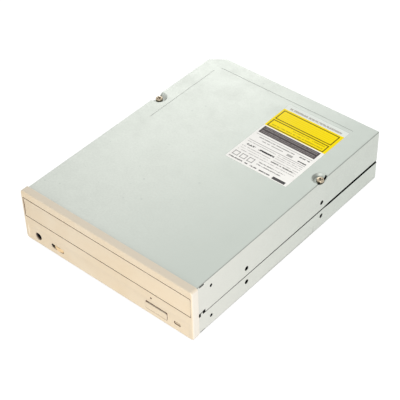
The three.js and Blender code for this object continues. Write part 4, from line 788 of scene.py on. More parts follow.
def label_print(shades):
    """Everything on the sticker: a clear strip, two framed yellow panels, a dark band, rules and bars.

    Each is a rectangle in millimetres from the sticker's front left corner: left, right, near, far, colour,
    strength and the length of its dashes, which is 0 where it is solid.
    """
    clear, rule, worn = display(230, 236, 229), display(172, 168, 166), display(140, 122, 112)
    yellow, olive, band, ink = shades.yellow, shades.olive, shades.band, shades.ink
    return [
        (0, 51.2, 65, 71, clear, 0.9, 0), (0, 51.2, 42.4, 64.9, yellow, 1, 0),
        (3.5, 47.5, 66.3, 68.1, worn, 0.6, 1.0),
        *ruled(1.5, 49, 52.2, 63.4, 0.85, olive), *ruled(1.5, 49, 43, 51, 0.85, olive),
        *[(3.5, 47, near, near + 0.7, olive, 0.12, 0) for near in (54.4, 56.2, 58, 59.8)],
        (4, 21, 45.2, 46.3, olive, 0.5, 1.1), (22, 47, 45.2, 46.3, olive, 0.5, 1.0),
        (20, 34, 48, 49, olive, 0.45, 1.0), (36.5, 47, 48, 49, olive, 0.55, 1.0),
        (1.6, 48.9, 33.6, 41.4, band, 1, 0), (1.6, 48.9, 37.2, 37.8, ink, 0.75, 0),
        *ruled(1.6, 48.9, 33.6, 41.4, 0.5, ink, 0.6),
        (1.8, 49, 31.4, 31.9, ink, 0.55, 0), (1.8, 49, 23.4, 23.9, ink, 0.6, 0),
        *[(left, right, near, near + tall, ink, share * 1.8, 1.1) for left, right, near, tall, share in BARS],
        *[(3, 47.5, near, near + 0.8, rule, 0.5, 0.9) for near in (34.6, 36, 38.4, 39.8)],
        (31.8, 36.6, 25.2, 27.3, ink, 0.55, 0), (38.6, 49, 0.6, 3.1, ink, 0.95, 0),
        *[side for left in (2, 8.2, 14.4) for side in ruled(left, left + 4.6, 4.4, 9, 0.6, ink, 0.65)],
    ]


# Moulded finishes: name, shade, deeper shade, roughness and grain depth in millimetres, and for some the
# wear, the worn shade and the index
MOULDED = {
    "wheel": ("wheel_plastic", (232, 204, 160), (222, 188, 138), 0.5, 0.008, 0.3),
    "grey": ("grey_plastic", (84, 88, 90), (70, 72, 76), 0.5, 0.01),
    "white": ("white_plastic", (232, 228, 214), (222, 216, 198), 0.42, 0.006),
    # A matte black plate behind the right seam: partly the black frame inside, partly painted shade
    "tape": ("black_tape", (7, 8, 8), (10, 11, 11), 0.8, 0.004, 0, None, 1.04),
    "rubber": ("rubber", (30, 30, 30), (40, 39, 38), 0.8, 0.01, 0.2),
    "chip": ("chip_epoxy", (36, 36, 38), (46, 46, 48), 0.55, 0.01, 0.2),
    "ribbon": ("ribbon_film", (222, 220, 208), (206, 202, 188), 0.4, 0.004),
}
FINISH_NAMES = {}


def finishes(scene):
    """All finishes by name, made once."""
    if "galvanised_sheet" in bpy.data.materials:
        return {name: bpy.data.materials[label] for name, label in FINISH_NAMES.items()}
    shades = scene.drive_colours
    black = (display(14, 15, 16), 0.5, 0.012 * MM, 0.35, display(60, 62, 66), 1.35)
    made = {
        "sheet": galvanised(shades),
        "cream": cream(shades),
        "label": printed_label(shades),
        "circuit": circuit(shades),
        "window": see_through(
            "lamp_window_plastic", display(186, 166, 134), display(204, 184, 154), 400, (500, 0.22, 0.34),
            IOR=1.5, Transmission_Weight=0.12, Metallic=0,
        ),
        "glass": see_through(
            "objective_glass", display(120, 140, 190), display(150, 170, 215), 900, (900, 0.03, 0.08),
            IOR=1.6, Transmission_Weight=0.5, Coat_Weight=1,
        ),
        "black": moulded("black_plastic", shades.tray, *black),
        "steel": metal("bright_steel", display(196, 199, 202), 0.26, 0.9),
        "brass": metal("passivated_zinc", shades.brass, 0.3),
        "tin": metal("tinned_pin", display(212, 204, 176), 0.22),
    }
    for name, (label, shade, deep, roughness, depth, *rest) in MOULDED.items():
        made[name] = moulded(label, display(*shade), display(*deep), roughness, depth * MM, *rest)
    FINISH_NAMES.update({name: material.name for name, material in made.items()})
    return made


# The case

# The seam between the shells: its height at the front and the rear, its gap there, and one more step of the
# gap on the right side, with the places along the case between which that step opens
SEAM = part(front=15.6, rear=15.4, front_gap=0.5, rear_gap=1.5, step=0.85)
STEP_ALONG = mm(128.7, 135)

# Places along the case, from the bezel: the mounting holes, the screw dishes by side, and the dimples
HOLES_ALONG = mm(47.4, 126.65)
DISH_ALONG = {1: 127.2 * MM, -1: 126 * MM}
DIMPLES_ALONG = mm(26, 166)
DIMPLE_ACROSS = 62 * MM
BOTTOM_HOLE_ACROSS = 69.85 * MM
SCREW_HOLE = 1.7 * MM

# What goes through each shell's side walls: height of the mounting holes, place along and up of the small
# hole, and near, far, low and high end of the slit
WALL_CUTS = {
    "top": (21.84 * MM, mm(13.2, 34.2), (*mm(2.5, 6.6), HEIGHT - 1.38 * MM, HEIGHT - 0.8 * MM)),
    "bottom": (9.96 * MM, mm(12.7, 8), mm(2.2, 6.3, 0.95, 1.5)),
}
SLIT_CORNER = 0.2 * MM

# The latch across the seam: near, far, low and high end and corner radius of its openings, and the lower
# shell's tab, which comes up between window and hook where the bridge is cut out of the upper shell
LATCH = {
    "window": mm(5, 7.4, 15.4, 18.3, 0.3),
    "hook": mm(1.1, 3.1, 14.6, 17.9, 0.3),
    "bridge": mm(2.2, 5.4, 15, 17.8, 0.1),
}
TAB, TAB_INSET, TAB_SHARE = mm(2.9, 5.2, 12, 17.1), 0.01 * MM, 0.95

# The embossed strip of the lower side walls: near, far, low and high end; and where the rear opening starts
STRIP, STRIP_DEPTH = mm(62, 118, 1.3, 6.5), 0.07 * MM
REAR_OPENING = mm(173, 2)

# The notch in the side wall at each dish: its depth and half its width
NOTCH_DEPTH, NOTCH_HALF = mm(2.8, 6)

# Slots beside each dish, from its centre, and their width by side
DISH_SLOTS = (mm(2, 5.9), mm(-5.9, -2))
SLOT_WIDTH = {1: 1.6 * MM, -1: 0.4 * MM}

# Creases in the roof: half width, depth, and low and high end across and along of both
CREASE_HALF, CREASE_DEPTH = mm(0.26, 0.12)
CREASES = (
    (mm(-60.6, -60.6), mm(106, 175)),
    (mm(-58, 58.6), mm(180.5, 180.5)),
)


def eased_profile(inner, outer, steps):
    """Radii from the axis to the rim of a pressed form, and its depth at each as a share, eased to 0."""
    radii = np.concatenate([[0], np.linspace(inner, outer, steps)])
    return radii, 1 - ease(inner, outer, radii)


def dish_cutter(name, centre, inner, outer, top, depth, over, limit=None):
    """The space of a dish and what lies beyond the sheet over it, turned about the dish's axis."""
    radii, share = eased_profile(inner, outer, 15)
    profile = np.concatenate([np.stack([radii, top - depth * share], 1), [(outer, over), (0, over)]])
    grid = turned(profile, centre)
    if limit is not None:
        grid[..., 0] = np.clip(grid[..., 0], -limit, limit)
    return solid(name, grid)


def case_plan(sizes, ahead):
    """The shells' plan: a rectangle without its rear left corner, carried ahead of the front opening.

    The right side gets two more points, where the seam between the shells widens.
    """
    points, normals = outline(
        [(-SIDE, FRONT - ahead), (SIDE, FRONT - ahead), (SIDE, REAR), (sizes.chamfer_x - SIDE, REAR),
         (-SIDE, REAR - sizes.chamfer_y)],
        sizes.corner, 6,
    )
    place = [np.flatnonzero(points[:, 1] > 0)[0]] * 2
    points = np.insert(points, place, [(SIDE, FRONT + y) for y in STEP_ALONG], axis=0)
    return points, np.insert(normals, place, [(1.0, 0.0)] * 2, axis=0)


def shell_rows(sizes, cap, direction):
    """Rows of a shell with one rounded cap: up the inside from its rim, and back down the outside."""
    inner = sizes.bend - sizes.sheet
    ceiling = cap - direction * sizes.sheet
    inside = rounded_edge(inner, ceiling, direction, 3) + np.array([sizes.sheet, 0])
    outside = rounded_edge(sizes.bend, cap, direction, 6)
    return np.concatenate([inside[::-1], [(sizes.sheet, 0), (0, 0)], outside]), len(inside)


def steel_shell(name, sizes, seam_share, cap, direction):
    """One closed shell whose rim follows the seam, sloping away from it on the inside."""
    ahead, set_back = mm(4, 1.6)
    rows, inner = shell_rows(sizes, cap, direction)
    grid = carried(case_plan(sizes, ahead), rows)
    rim = slice(inner, inner + 2)
    grid[rim, :, 2] = seam_edge(grid[rim, :, 1], seam_share)
    grid[inner, :, 2] += direction * set_back
    return solid(name, grid)


def seam_edge(y, share):
    """Height of one edge of the seam: its straight middle line, and a share of the gap there.

    The gap grows evenly along the case, and by one more step behind the rear holes.
    """
    along = (y - FRONT) / (REAR - FRONT)
    middle = SEAM.front + (SEAM.rear - SEAM.front) * along
    start, end = STEP_ALONG
    step = SEAM.step * np.clip((y - FRONT - start) / (end - start), 0, 1)
    return middle + share * (SEAM.front_gap + (SEAM.rear_gap - SEAM.front_gap) * along + step)


def undercut():
    """Rows of a cut through both side walls that widens behind the thin outer lip."""
    reach, lip, wider, slope = SIDE + 5 * MM, 0.25 * MM, 0.5 * MM, 0.03 * MM
    half = [(0, SIDE - lip), (-wider, SIDE - lip - slope)]
    return [(0, -reach), *[(row, -x) for row, x in half], *half[::-1], (0, reach)]


def wall_opening(near, far, low, high, radius):
    """A rounded opening through both side walls."""
    return carried(rectangle(FRONT + near, FRONT + far, low, high, radius, 3), undercut(), ALONG_X)


def side_cutters(shell, sizes, latch):
    """What is cut through both side walls: holes and slit as one piece, then the latch's openings."""
    mount_z, (small_y, small_z), slit = WALL_CUTS[shell]
    holes = [circle(FRONT + y, mount_z, sizes.hole) for y in HOLES_ALONG]
    holes.append(circle(FRONT + small_y, small_z, sizes.small_hole, 32))
    grids = [carried(hole, undercut(), ALONG_X) for hole in holes]
    sides = solid("sides", *grids, wall_opening(*slit, SLIT_CORNER))
    return sides, *[solid(name, wall_opening(*LATCH[name])) for name in latch]


def on_both_sides(inner, outer, near, far, bottom, top):
    """Blocks at both side walls, between two distances from the middle, two places along and two heights."""
    pairs = [sorted((side * inner, side * outer)) for side in (1, -1)]
    return [block((left, FRONT + near, bottom), (right, FRONT + far, top)) for left, right in pairs]


def open_front(height):
    """A block that takes away what a shell has ahead of its front edge."""
    reach = 6 * MM
    return solid("front", block((-SIDE - OVER, FRONT - reach, -OVER), (SIDE + OVER, FRONT, height)))


def press_dishes(shell, sizes, centres, floor):
    """Thickens the roof at both dishes and cuts it to shape from above and from below."""
    rows = [(0, floor - sizes.sheet), (0, HEIGHT - sizes.sheet / 2)]
    clear_of_wall = SIDE - sizes.sheet * 1.05
    plugs = []
    for centre in centres:
        points, normals = circle(*centre, sizes.dish_outer + sizes.sheet, 64)
        points[:, 0] = np.clip(points[:, 0], sizes.sheet / 2 - SIDE, SIDE - sizes.sheet / 2)
        plugs.append(carried((points, normals * 0), rows))
    carve(shell, solid("plug", *plugs), joined=True)
    for number, centre in enumerate(centres):
        above = dish_cutter(
            f"above{number}", centre, sizes.dish_inner, sizes.dish_outer, HEIGHT, sizes.dish_depth,
            HEIGHT + 3 * OVER,
        )
        below = dish_cutter(
            f"below{number}", centre, sizes.dish_inner, sizes.dish_outer + 2 * sizes.sheet,
            HEIGHT - sizes.sheet, sizes.dish_depth, floor - 4 * OVER, clear_of_wall,
        )
        carve(shell, above, below)


def dish_openings(sizes, floor):
    """The notch in the side wall at each dish, and the slots beside the dish.

    A notch is a circle, whose radius is half the sum of the squares of its half width and its depth, over
    its depth.
    """
    wall = SIDE - sizes.sheet
    radius = (NOTCH_HALF ** 2 + NOTCH_DEPTH ** 2) / (2 * NOTCH_DEPTH)
    bite, lip, under = 0.2 * MM, 0.4 * MM, 2 * sizes.sheet
    notches, slots = [], []
    for side, y in DISH_ALONG.items():
        near, far = sorted((side * wall, side * (wall - SLOT_WIDTH[side])))
        for first, last in DISH_SLOTS:
            low = (near, FRONT + y + first, floor - under)
            slots.append(block(low, (far, FRONT + y + last, HEIGHT - lip)))
        notch = circle(FRONT + y, HEIGHT - NOTCH_DEPTH + radius, radius, 96)
        notches.append(carried(notch, [(0, side * (wall - bite)), (0, side * (SIDE + OVER))], ALONG_X))
    return notches, slots


def creases():
    """Two fine grooves pressed into the roof, one along it and one across."""
    deep = HEIGHT - CREASE_DEPTH
    grids = []
    for (left, right), (near, far) in CREASES:
        wide, long = (CREASE_HALF, 0) if left == right else (0, CREASE_HALF)
        low = (left - wide, FRONT + near - long, deep)
        grids.append(block(low, (right + wide, FRONT + far + long, HEIGHT + OVER)))
    return solid("creases", *grids)


def top_shell(sizes):
    """The roof and the upper side walls, with two screw dishes, creases, holes and slits."""
    shell = steel_shell("top_cover_sheet", sizes, 0.5, HEIGHT, 1)
    screw_low, screw_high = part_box("cover_screw_right")
    dish_x = (screw_low.x + screw_high.x) / 2
    centres = [(side * dish_x, FRONT + y) for side, y in DISH_ALONG.items()]
    floor = HEIGHT - sizes.dish_depth
    press_dishes(shell, sizes, centres, floor)
    drill = [(0, floor - 4 * OVER), (0, HEIGHT + OVER)]
    holes = [carried(circle(*centre, SCREW_HOLE), drill) for centre in centres]
    notches, slots = dish_openings(sizes, floor)
    carve(shell, solid("notches", *notches))
    carve(shell, solid("screw_holes", *holes), open_front(HEIGHT + OVER))
    carve(shell, solid("slots", *slots))
    carve(shell, *side_cutters("top", sizes, ("window", "hook", "bridge")))
    return carve(shell, creases())


def bottom_shell(sizes):
    """The floor and the lower side walls, with four dimples, holes, an embossed strip and the open rear."""
    shell = steel_shell("bottom_cover_sheet", sizes, -0.5, 0.0, -1)
    both = (1, -1)
    centres = [(side * DIMPLE_ACROSS, FRONT + y) for side in both for y in DIMPLES_ALONG]
    plug_rows = [(0, sizes.sheet / 2), (0, sizes.dimple_depth + sizes.sheet)]
    plug_radius = sizes.dimple_outer + sizes.sheet / 2
    plugs = [carried(circle(*centre, plug_radius), plug_rows) for centre in centres]
    plugs += on_both_sides(SIDE - sizes.sheet * TAB_SHARE, SIDE - TAB_INSET, *TAB)
    carve(shell, solid("plugs", *plugs), joined=True)
    radii, share = eased_profile(sizes.dimple_inner, sizes.dimple_outer, 11)
    rim = [(sizes.dimple_outer, -3 * OVER), (0, -3 * OVER)]
    profile = np.concatenate([np.stack([radii, sizes.dimple_depth * share], 1), rim])
    carve(shell, solid("dimples", *[turned(profile, centre) for centre in centres]))
    drill = [(0, -4 * OVER), (0, 6 * OVER)]
    holes = [carried(circle(*centre, SCREW_HOLE), drill) for centre in centres]
    holes += [
        carried(circle(side * BOTTOM_HOLE_ACROSS, FRONT + y, sizes.hole), drill)
        for side in both for y in HOLES_ALONG
    ]
    inside = SIDE - sizes.sheet
    rear = block((-inside, FRONT + REAR_OPENING[0], REAR_OPENING[1]), (inside, REAR + OVER, HEIGHT))
    carve(shell, solid("holes", *holes), open_front(HEIGHT), solid("rear", rear))
    carve(shell, *side_cutters("bottom", sizes, ("window", "hook")))
    return carve(shell, solid("pressed", *on_both_sides(SIDE - STRIP_DEPTH, SIDE + OVER, *STRIP)))


class DRIVE_OT_case(Operator):
    """Make the two steel shells of the case"""

    bl_idname = "drive.case"
    bl_label = "Case shells"

    def execute(self, context):
        sizes = context.scene.drive_case
        sheet = finishes(context.scene)["sheet"]
        for piece, node in ((top_shell(sizes), "top_cover"), (bottom_shell(sizes), "bottom_cover")):
            soften(piece, sizes.rim)
            dress(piece, "case", "galvanised", sheet, node)
        return {"FINISHED"}


# Screws


def pan_screw(name, centre, seat, direction, radius, rise, shank, reach, turn):
    """A pan head with a cross recess on a plain shank.

    The head's height is a flattened dome less the recess; the recess is deep where the point lies within half
    the blade's width of either axis of the cross and within its reach, with soft sides.
    """
    steps = 128
    crown, flatness, recess_share, taper_share, tip_share = 0.28, 2.6, 0.55, 0.4, 0.6
    cross, blade, soft = radius * 0.62, radius * 0.15, radius * 0.05
    around = np.linspace(0, 2 * math.pi, steps, endpoint=False)
    rows = (np.linspace(0, 0.93, 26) * radius)[:, None]
    across, along = rows * np.cos(around + turn), rows * np.sin(around + turn)

    def arm(narrow, wide):
        near = 1 - ease(blade - soft, blade + soft, np.abs(narrow))
        return near * (1 - ease(cross - 2 * soft, cross + soft, np.abs(wide)))

    recess = np.maximum(arm(across, along), arm(along, across))
    top = rise * (1 - crown * (rows / radius) ** flatness - recess_share * recess)
    edge_shares = [(0.985, 0.58), (1.0, 0.42), (1.0, 0.06), (0.985, 0.0)]
    lower = [(radius * share, rise * height) for share, height in edge_shares]
    lower += [(shank, 0), (shank, -reach + shank * taper_share), (shank * tip_share, -reach)]
    lower = np.array(lower)
    radii = np.concatenate([np.broadcast_to(rows, top.shape), np.repeat(lower[:, :1], steps, 1)])
    heights = np.concatenate([top, np.repeat(lower[:, 1:], steps, 1)])
    x = centre[0] + radii * np.cos(around)
    y = centre[1] + radii * np.sin(around)
    return smooth(solid(name, np.stack([x, y, seat + direction * heights], -1)), 0.9)


class DRIVE_OT_screws(Operator):
    """Make the cover screws and the four case screws in the underside"""

    bl_idname = "drive.screws"
    bl_label = "Screws"

    def execute(self, context):
        finish = finishes(context.scene)
        sizes = context.scene.drive_case
        seat = HEIGHT - sizes.dish_depth
        rise, shank = mm(1.9, 1.4)
        for node, side, turn in (("cover_screw_left", -1, 0.5), ("cover_screw_right", 1, 0.95)):
            low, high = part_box(node)
            centre = ((low.x + high.x) / 2, FRONT + DISH_ALONG[side])
            radius = (high.x - low.x) / 2
            screw = pan_screw(f"{node}_head", centre, seat, 1, radius, rise, shank, seat - low.z, turn)
            dress(screw, "case", "brass", finish["brass"], node)
        seat = sizes.dimple_depth
        radius, rise, shank, reach = mm(2.9, 1.05, 1.25, 3.4)
        first_turn = 0.3
        places = [(side * DIMPLE_ACROSS, FRONT + y) for side in (1, -1) for y in DIMPLES_ALONG]
        for number, centre in enumerate(places):
            name = f"case_screw_{number + 1}"
            screw = pan_screw(name, centre, seat, -1, radius, rise, shank, reach, first_turn + number)
            dress(screw, "case", "brass", finish["steel"])
        return {"FINISHED"}


class DRIVE_OT_label(Operator):
    """Make the sticker on the roof"""

    bl_idname = "drive.label"
    bl_label = "Type label"

    def execute(self, context):
        low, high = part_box("type_label")
        corner, edge_share = 0.5 * MM, 0.6
        edge = (high.z - low.z) * edge_share
        shape = rectangle(low.x, high.x, low.y, high.y, corner, 4)
        rows = np.concatenate([[(0, low.z)], rounded_edge(edge, high.z, 1, 3)])
        sticker = smooth(solid("type_label_sticker", carried(shape, rows)))
        dress(sticker, "case", "paper", finishes(context.scene)["label"], "type_label")
        return {"FINISHED"}


# The bezel and what is in it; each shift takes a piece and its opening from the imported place

DOORWAY = part(low=20.45, high=36.95, inset=1.4, left=0.17, deep=4, corner=0.3)
APERTURE = part(low=21.9, high=35.8, inset=3.55, corner=0.5)
SCOOP = part(bottom=2.6, top=14, deep=0.6, inset=2.6, end=0.9)
POCKET = part(inset=2, face=2.2, low=2.3, high=18.45)
JACK = part(shift=0.9, height=6.7, opening=2.9, nose=2.3, bore=1.8)
PINHOLE = part(from_button=6.3, height=15.8, radius=0.75)
LAMP = part(shift=1, low=5.5, high=7.5, corner=0.6, edge=0.35, play=0.1, play_up=0.2, opening_corner=0.8)

# Left, right, low and high end and corner radius of the button's opening and of its cap
BUTTON_OPENING = mm(34.21, 52.45, 3.78, 10.6, 0.5)
BUTTON_CAP = mm(34.25, 52, 3.82, 9, 0.7)

# The wheel's slot and the recess behind it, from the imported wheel's middle; between what depths the recess
# lies; and how much lower the wheel sits
WHEEL_SLOT = mm(-6.8, 5.1, -2.88, 0.6, 1.5)
WHEEL_RECESS = mm(-9, 8, -4.2, 3, 1.6)
RECESS_START, RECESS_END = mm(1, 3)
WHEEL_DROP = 1.3 * MM

# The arms behind the side walls and the tooth on each: near, far, low and high end
ARM = mm(-2, 3.3, 13.2, 19.4)
ARM_TOOTH = mm(0.9, 2, 15, 16.2)


def middle_of(node):
    """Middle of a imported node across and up, with the ends of its box."""
    low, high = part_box(node)
    return (low.x + high.x) / 2, (low.z + high.z) / 2, low, high


def bezel_body(sizes):
    """The bezel's outer form: a rectangle with round corners carried forwards, with a round front edge."""
    shape = rectangle(BEZEL_LOW.x, BEZEL_TOP.x, BEZEL_LOW.z, BEZEL_TOP.z, sizes.corner, 10)
    edge = rounded_edge(sizes.edge, FACE, -1, 8)
    return solid("front_bezel_moulding", carried(shape, np.concatenate([[(0, FRONT)], edge]), ALONG_Y))


def rounded_ends(edge, low, high, steps):
    """Rows between two ends, both rounded by a small radius."""
    return np.concatenate([rounded_edge(edge, low, -1, steps)[::-1], rounded_edge(edge, high, 1, steps)])


def scoop_cutter():
    """A long lying cylinder with round ends that grazes the bezel's face.

    Its radius is half the sum of the squares of the half chord and the depth, over the depth.
    """
    half_chord = (SCOOP.top - SCOOP.bottom) / 2
    radius = (half_chord ** 2 + SCOOP.deep ** 2) / (2 * SCOOP.deep)
    shape = circle(FACE + SCOOP.deep - radius, SCOOP.bottom + half_chord, radius, 360)
    half = BEZEL_TOP.x - SCOOP.inset
    return solid("scoop", carried(shape, rounded_ends(SCOOP.end, -half, half, 5), ALONG_X))


def make_bezel(sizes):
    """Cuts the scoop, the doorway and every opening out of the bezel."""
    bezel = bezel_body(sizes)
    carve(bezel, scoop_cutter())
    out, back = FACE - 3 * OVER, FRONT + OVER
    half = BEZEL_TOP.x - DOORWAY.inset
    inner = half - APERTURE.inset
    pocket = BEZEL_TOP.x - POCKET.inset
    doorway = rectangle(DOORWAY.left - half, half, DOORWAY.low, DOORWAY.high, DOORWAY.corner, 3)
    aperture = rectangle(-inner, inner, APERTURE.low, APERTURE.high, APERTURE.corner, 3)
    hollow = block((-pocket, FACE + POCKET.face, POCKET.low), (pocket, back, POCKET.high))
    carve(
        bezel,
        solid("doorway", carried(doorway, [(0, out), (0, FACE + DOORWAY.deep)], ALONG_Y)),
        solid("aperture", carried(aperture, [(0, out), (0, back)], ALONG_Y)),
        solid("pocket", hollow),
    )
    jack_x = middle_of("headphone_jack")[0] - JACK.shift
    button_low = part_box("eject_button")[0]
    lamp_low, lamp_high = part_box("lamp_window")
    wheel_x, wheel_z, _, _ = middle_of("volume_wheel")
    lamp_left, lamp_right = lamp_low.x - LAMP.shift, lamp_high.x - LAMP.shift

    def at_wheel(left, right, low, high, radius, steps):
        return rectangle(wheel_x + left, wheel_x + right, wheel_z + low, wheel_z + high, radius, steps)

    shapes = [
        circle(jack_x, JACK.height, JACK.opening, 64),
        circle(button_low.x + PINHOLE.from_button, PINHOLE.height, PINHOLE.radius, 32),
        rectangle(*BUTTON_OPENING, 6),
        rectangle(
            lamp_left - LAMP.play, lamp_right + LAMP.play,
            LAMP.low - LAMP.play_up, LAMP.high + LAMP.play_up, LAMP.opening_corner, 6,
        ),
        at_wheel(*WHEEL_SLOT, 10),
    ]
    recess_rows = [(0, FACE + RECESS_START), (0, FACE + RECESS_END)]
    carve(bezel, solid("recess", carried(at_wheel(*WHEEL_RECESS, 6), recess_rows, ALONG_Y)))
    carve(bezel, solid("openings", *[carried(shape, [(0, out), (0, back)], ALONG_Y) for shape in shapes]))
    return carve(bezel, *hook_arms(), joined=True)


def hook_arms():
    """The bezel's two short arms behind the side walls, and the tooth on each."""
    inside, thick, tooth = SIDE - 3.2 * MM, 1.2 * MM, MM
    arms = on_both_sides(inside, inside - thick, *ARM)
    teeth = on_both_sides(inside + tooth, inside - thick, *ARM_TOOTH)
    return solid("arms", *arms), solid("teeth", *teeth)


def door_panel(sizes):
    """The tray door: a section across its height, a little hollow in front, carried along X with round ends.

    The front is a parabola whose depth is given at the middle; the four edges are quarter circles.
    """
    thick, cleared, hollow = mm(3.7, 0.2, 0.5)
    low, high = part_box("tray_door")
    front, back, crest = low.y, low.y + thick, high.z - cleared
    edge = sizes.door_edge
    points, normals = rectangle(front, back, low.z, crest, edge, 6)
    middle, half = (low.z + crest) / 2, (crest - low.z) / 2 - edge
    share = np.linspace(-1, 1, 25)[1:-1][::-1]
    arc = np.stack([front + hollow * (1 - share ** 2), middle + half * share], 1)
    lean = np.stack([-np.ones_like(share), -2 * hollow * share / half], 1)
    lean /= np.linalg.norm(lean, axis=1, keepdims=True)
    section = np.concatenate([points, arc]), np.concatenate([normals, lean])
    door = solid("tray_door_panel", carried(section, rounded_ends(edge, low.x, high.x, 5), ALONG_X))
    lug_x, lug_half, lap, lug_low, lug_high = mm(43, 3, 0.3, 28.5, 29.9)
    lugs = [
        block((x - lug_half, back - lap, lug_low), (x + lug_half, high.y, lug_high))
        for x in (lug_x, -lug_x)
    ]
    return carve(door, solid("lugs", *lugs), joined=True)


def button_cap(sizes):
    """The eject button: a rounded rectangle with a slightly crowned face, on its flange and push rod."""
    travel, rise, half, corner = mm(2.6, 0.08, 1.5, 0.4)
    flange_corner, lap, thick = mm(0.6, 0.15, 0.9)
    middle_x, middle_z, low, high = middle_of("eject_button")
    seat = low.y + travel
    rows = np.concatenate([[(0, seat)], rounded_edge(sizes.button_edge, low.y + rise, -1, 6)])
    rings = carried(rectangle(*BUTTON_CAP, 8), rows, ALONG_Y)
    shares = np.array([0.85, 0.65, 0.4, 0.15])[:, None, None]
    middle = rings[-1].mean(0)
    crown = middle + (rings[-1] - middle) * shares
    crown[..., 1] = low.y + rise * shares[..., 0] ** 2
    cap = solid("eject_button_cap", np.concatenate([rings, crown]))
    flange = rectangle(low.x, high.x, low.z, high.z, flange_corner, 4)
    rod = rectangle(middle_x - half, middle_x + half, middle_z - half, middle_z + half, corner, 4)
    flange_rows = [(0, seat - lap), (0, seat + thick)]
    carve(cap, solid("flange", carried(flange, flange_rows, ALONG_Y)), joined=True)
    return carve(cap, solid("rod", carried(rod, [(0, seat), (0, high.y)], ALONG_Y)), joined=True)


def knurled_wheel(ridges):
    """The volume wheel: its radius falls by a small depth between ridges, as a raised cosine of the angle."""
    depth, extra, edge, bore = mm(0.22, 0.35, 0.3, 1.8)
    low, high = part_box("volume_wheel")
    centre = np.array([(low.x + high.x) / 2, (low.y + high.y) / 2])
    angles = np.linspace(0, 2 * math.pi, ridges * 10, endpoint=False)
    wave = (high.x - low.x) / 2 - depth * (0.5 - 0.5 * np.cos(angles * ridges))
    around = np.stack([np.cos(angles), np.sin(angles)], -1)
    bottom, top = low.z - WHEEL_DROP - extra, high.z - WHEEL_DROP
    rim = (centre + wave[:, None] * around, around)
    wheel = solid("volume_wheel_rim", carried(rim, rounded_ends(edge, bottom, top, 4)))
    drill = [(0, bottom - OVER), (0, top + OVER)]
    return carve(wheel, solid("bore", carried(circle(*centre, bore), drill)))


def lamp_lens():
    """The lamp window: a small rounded plate with a rounded face."""
    low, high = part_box("lamp_window")
    left, right = low.x - LAMP.shift + LAMP.play, high.x - LAMP.shift - LAMP.play
    shape = rectangle(left, right, LAMP.low, LAMP.high, LAMP.corner, 6)
    rows = np.concatenate([[(0, high.y)], rounded_edge(LAMP.edge, low.y, -1, 5)])
    return solid("lamp_window_lens", carried(shape, rows, ALONG_Y))


def jack_socket():
    """The headphone socket: its block, and a rounded nose with a bore."""
    corner, edge, gap, lap, deep = mm(0.4, 0.3, 0.3, 0.5, 12)
    middle, _, low, high = middle_of("headphone_jack")
    place = (middle - JACK.shift, JACK.height)
    front = FRONT + gap
    body = rectangle(low.x, high.x, low.z, high.z, corner, 4)
    socket = solid("headphone_socket", carried(body, [(0, front), (0, high.y)], ALONG_Y))
    rows = np.concatenate([[(0, front + lap)], rounded_edge(edge, low.y, -1, 5)])
    nose = solid("nose", carried(circle(*place, JACK.nose, 64), rows, ALONG_Y))
    carve(socket, nose, joined=True)
    drill = [(0, low.y - OVER), (0, low.y + deep)]
    return carve(socket, solid("bore", carried(circle(*place, JACK.bore, 64), drill, ALONG_Y)))


class DRIVE_OT_bezel(Operator):
    """Make the front bezel with its openings"""

    bl_idname = "drive.bezel"
    bl_label = "Front bezel"

    def execute(self, context):
        sizes = context.scene.drive_front
        bezel = soften(make_bezel(sizes), sizes.rim)
        dress(bezel, "case", "bezel", finishes(context.scene)["cream"], "front_bezel")
        return {"FINISHED"}


class DRIVE_OT_door(Operator):
    """Make the tray door"""

    bl_idname = "drive.door"
    bl_label = "Tray door"

    def execute(self, context):
        door = smooth(door_panel(context.scene.drive_front))
        dress(door, "tray", "bezel", finishes(context.scene)["cream"], "tray_door")
        return {"FINISHED"}


class DRIVE_OT_controls(Operator):
    """Make the button, the volume wheel, the lamp window and the headphone socket"""

    bl_idname = "drive.controls"
    bl_label = "Controls"

    def execute(self, context):
        sizes = context.scene.drive_front
        finish = finishes(context.scene)
        for piece, body, slot, name, node in (
            (button_cap(sizes), "button", "bezel", "cream", "eject_button"),
            (knurled_wheel(sizes.ridges), "dial", "bezel", "wheel", "volume_wheel"),
            (lamp_lens(), "case", "lamp_window", "window", "lamp_window"),
            (jack_socket(), "case", "black_plastic", "black", "headphone_jack"),
        ):
            dress(smooth(piece), body, slot, finish[name], node)
        return {"FINISHED"}


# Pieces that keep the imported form, with rounded edges or a new finish

# Edge rounding in millimetres, finish and slot
ROUNDED = {
    "disc_tray": (0.22, "black", "black_plastic"),
    "data_connector": (0.12, "black", "black_plastic"),
    "power_connector": (0.14, "white", "white_plastic"),
    "audio_connector": (0.12, "black", "black_plastic"),
    "digital_audio_connector": (0.12, "black", "black_plastic"),
    "jumper_block": (0.1, "black", "black_plastic"),
    "loader_frame": (0.2, "black", "black_plastic"),
    "clamp_bridge": (0.15, "sheet", "galvanised"),
    "clamp_puck": (0.2, "white", "white_plastic"),
}
PAINTED = {
    "white": (
        "status_lamp", "motor_pulley", "pulley_gear", "idler_gear", "tray_drive_gear", "cam_slider",
        "centring_cone", "lead_screw_follower",
    ),
    "black": ("volume_pot", "turntable", "lens_holder"),
    "grey": ("eject_switch", "lift_frame", "pickup_body"),
    "circuit": ("front_board", "main_board"),
    "ribbon": ("front_ribbon",),
    "chip": ("servo_chip", "decoder_chip", "buffer_chip"),
    "sheet": ("traverse_chassis", "spindle_base"),
    "rubber": ("loading_belt", "turntable_pad", *[f"damper_{place}" for place in CORNERS]),
    "steel": (
        "clamp_yoke", "loading_motor", "spindle_rotor", "guide_rod_main", "guide_rod_sub", "feed_motor",
        "lead_screw", *[f"damper_screw_{place}" for place in CORNERS],
    ),
    "glass": ("objective_lens",),
}

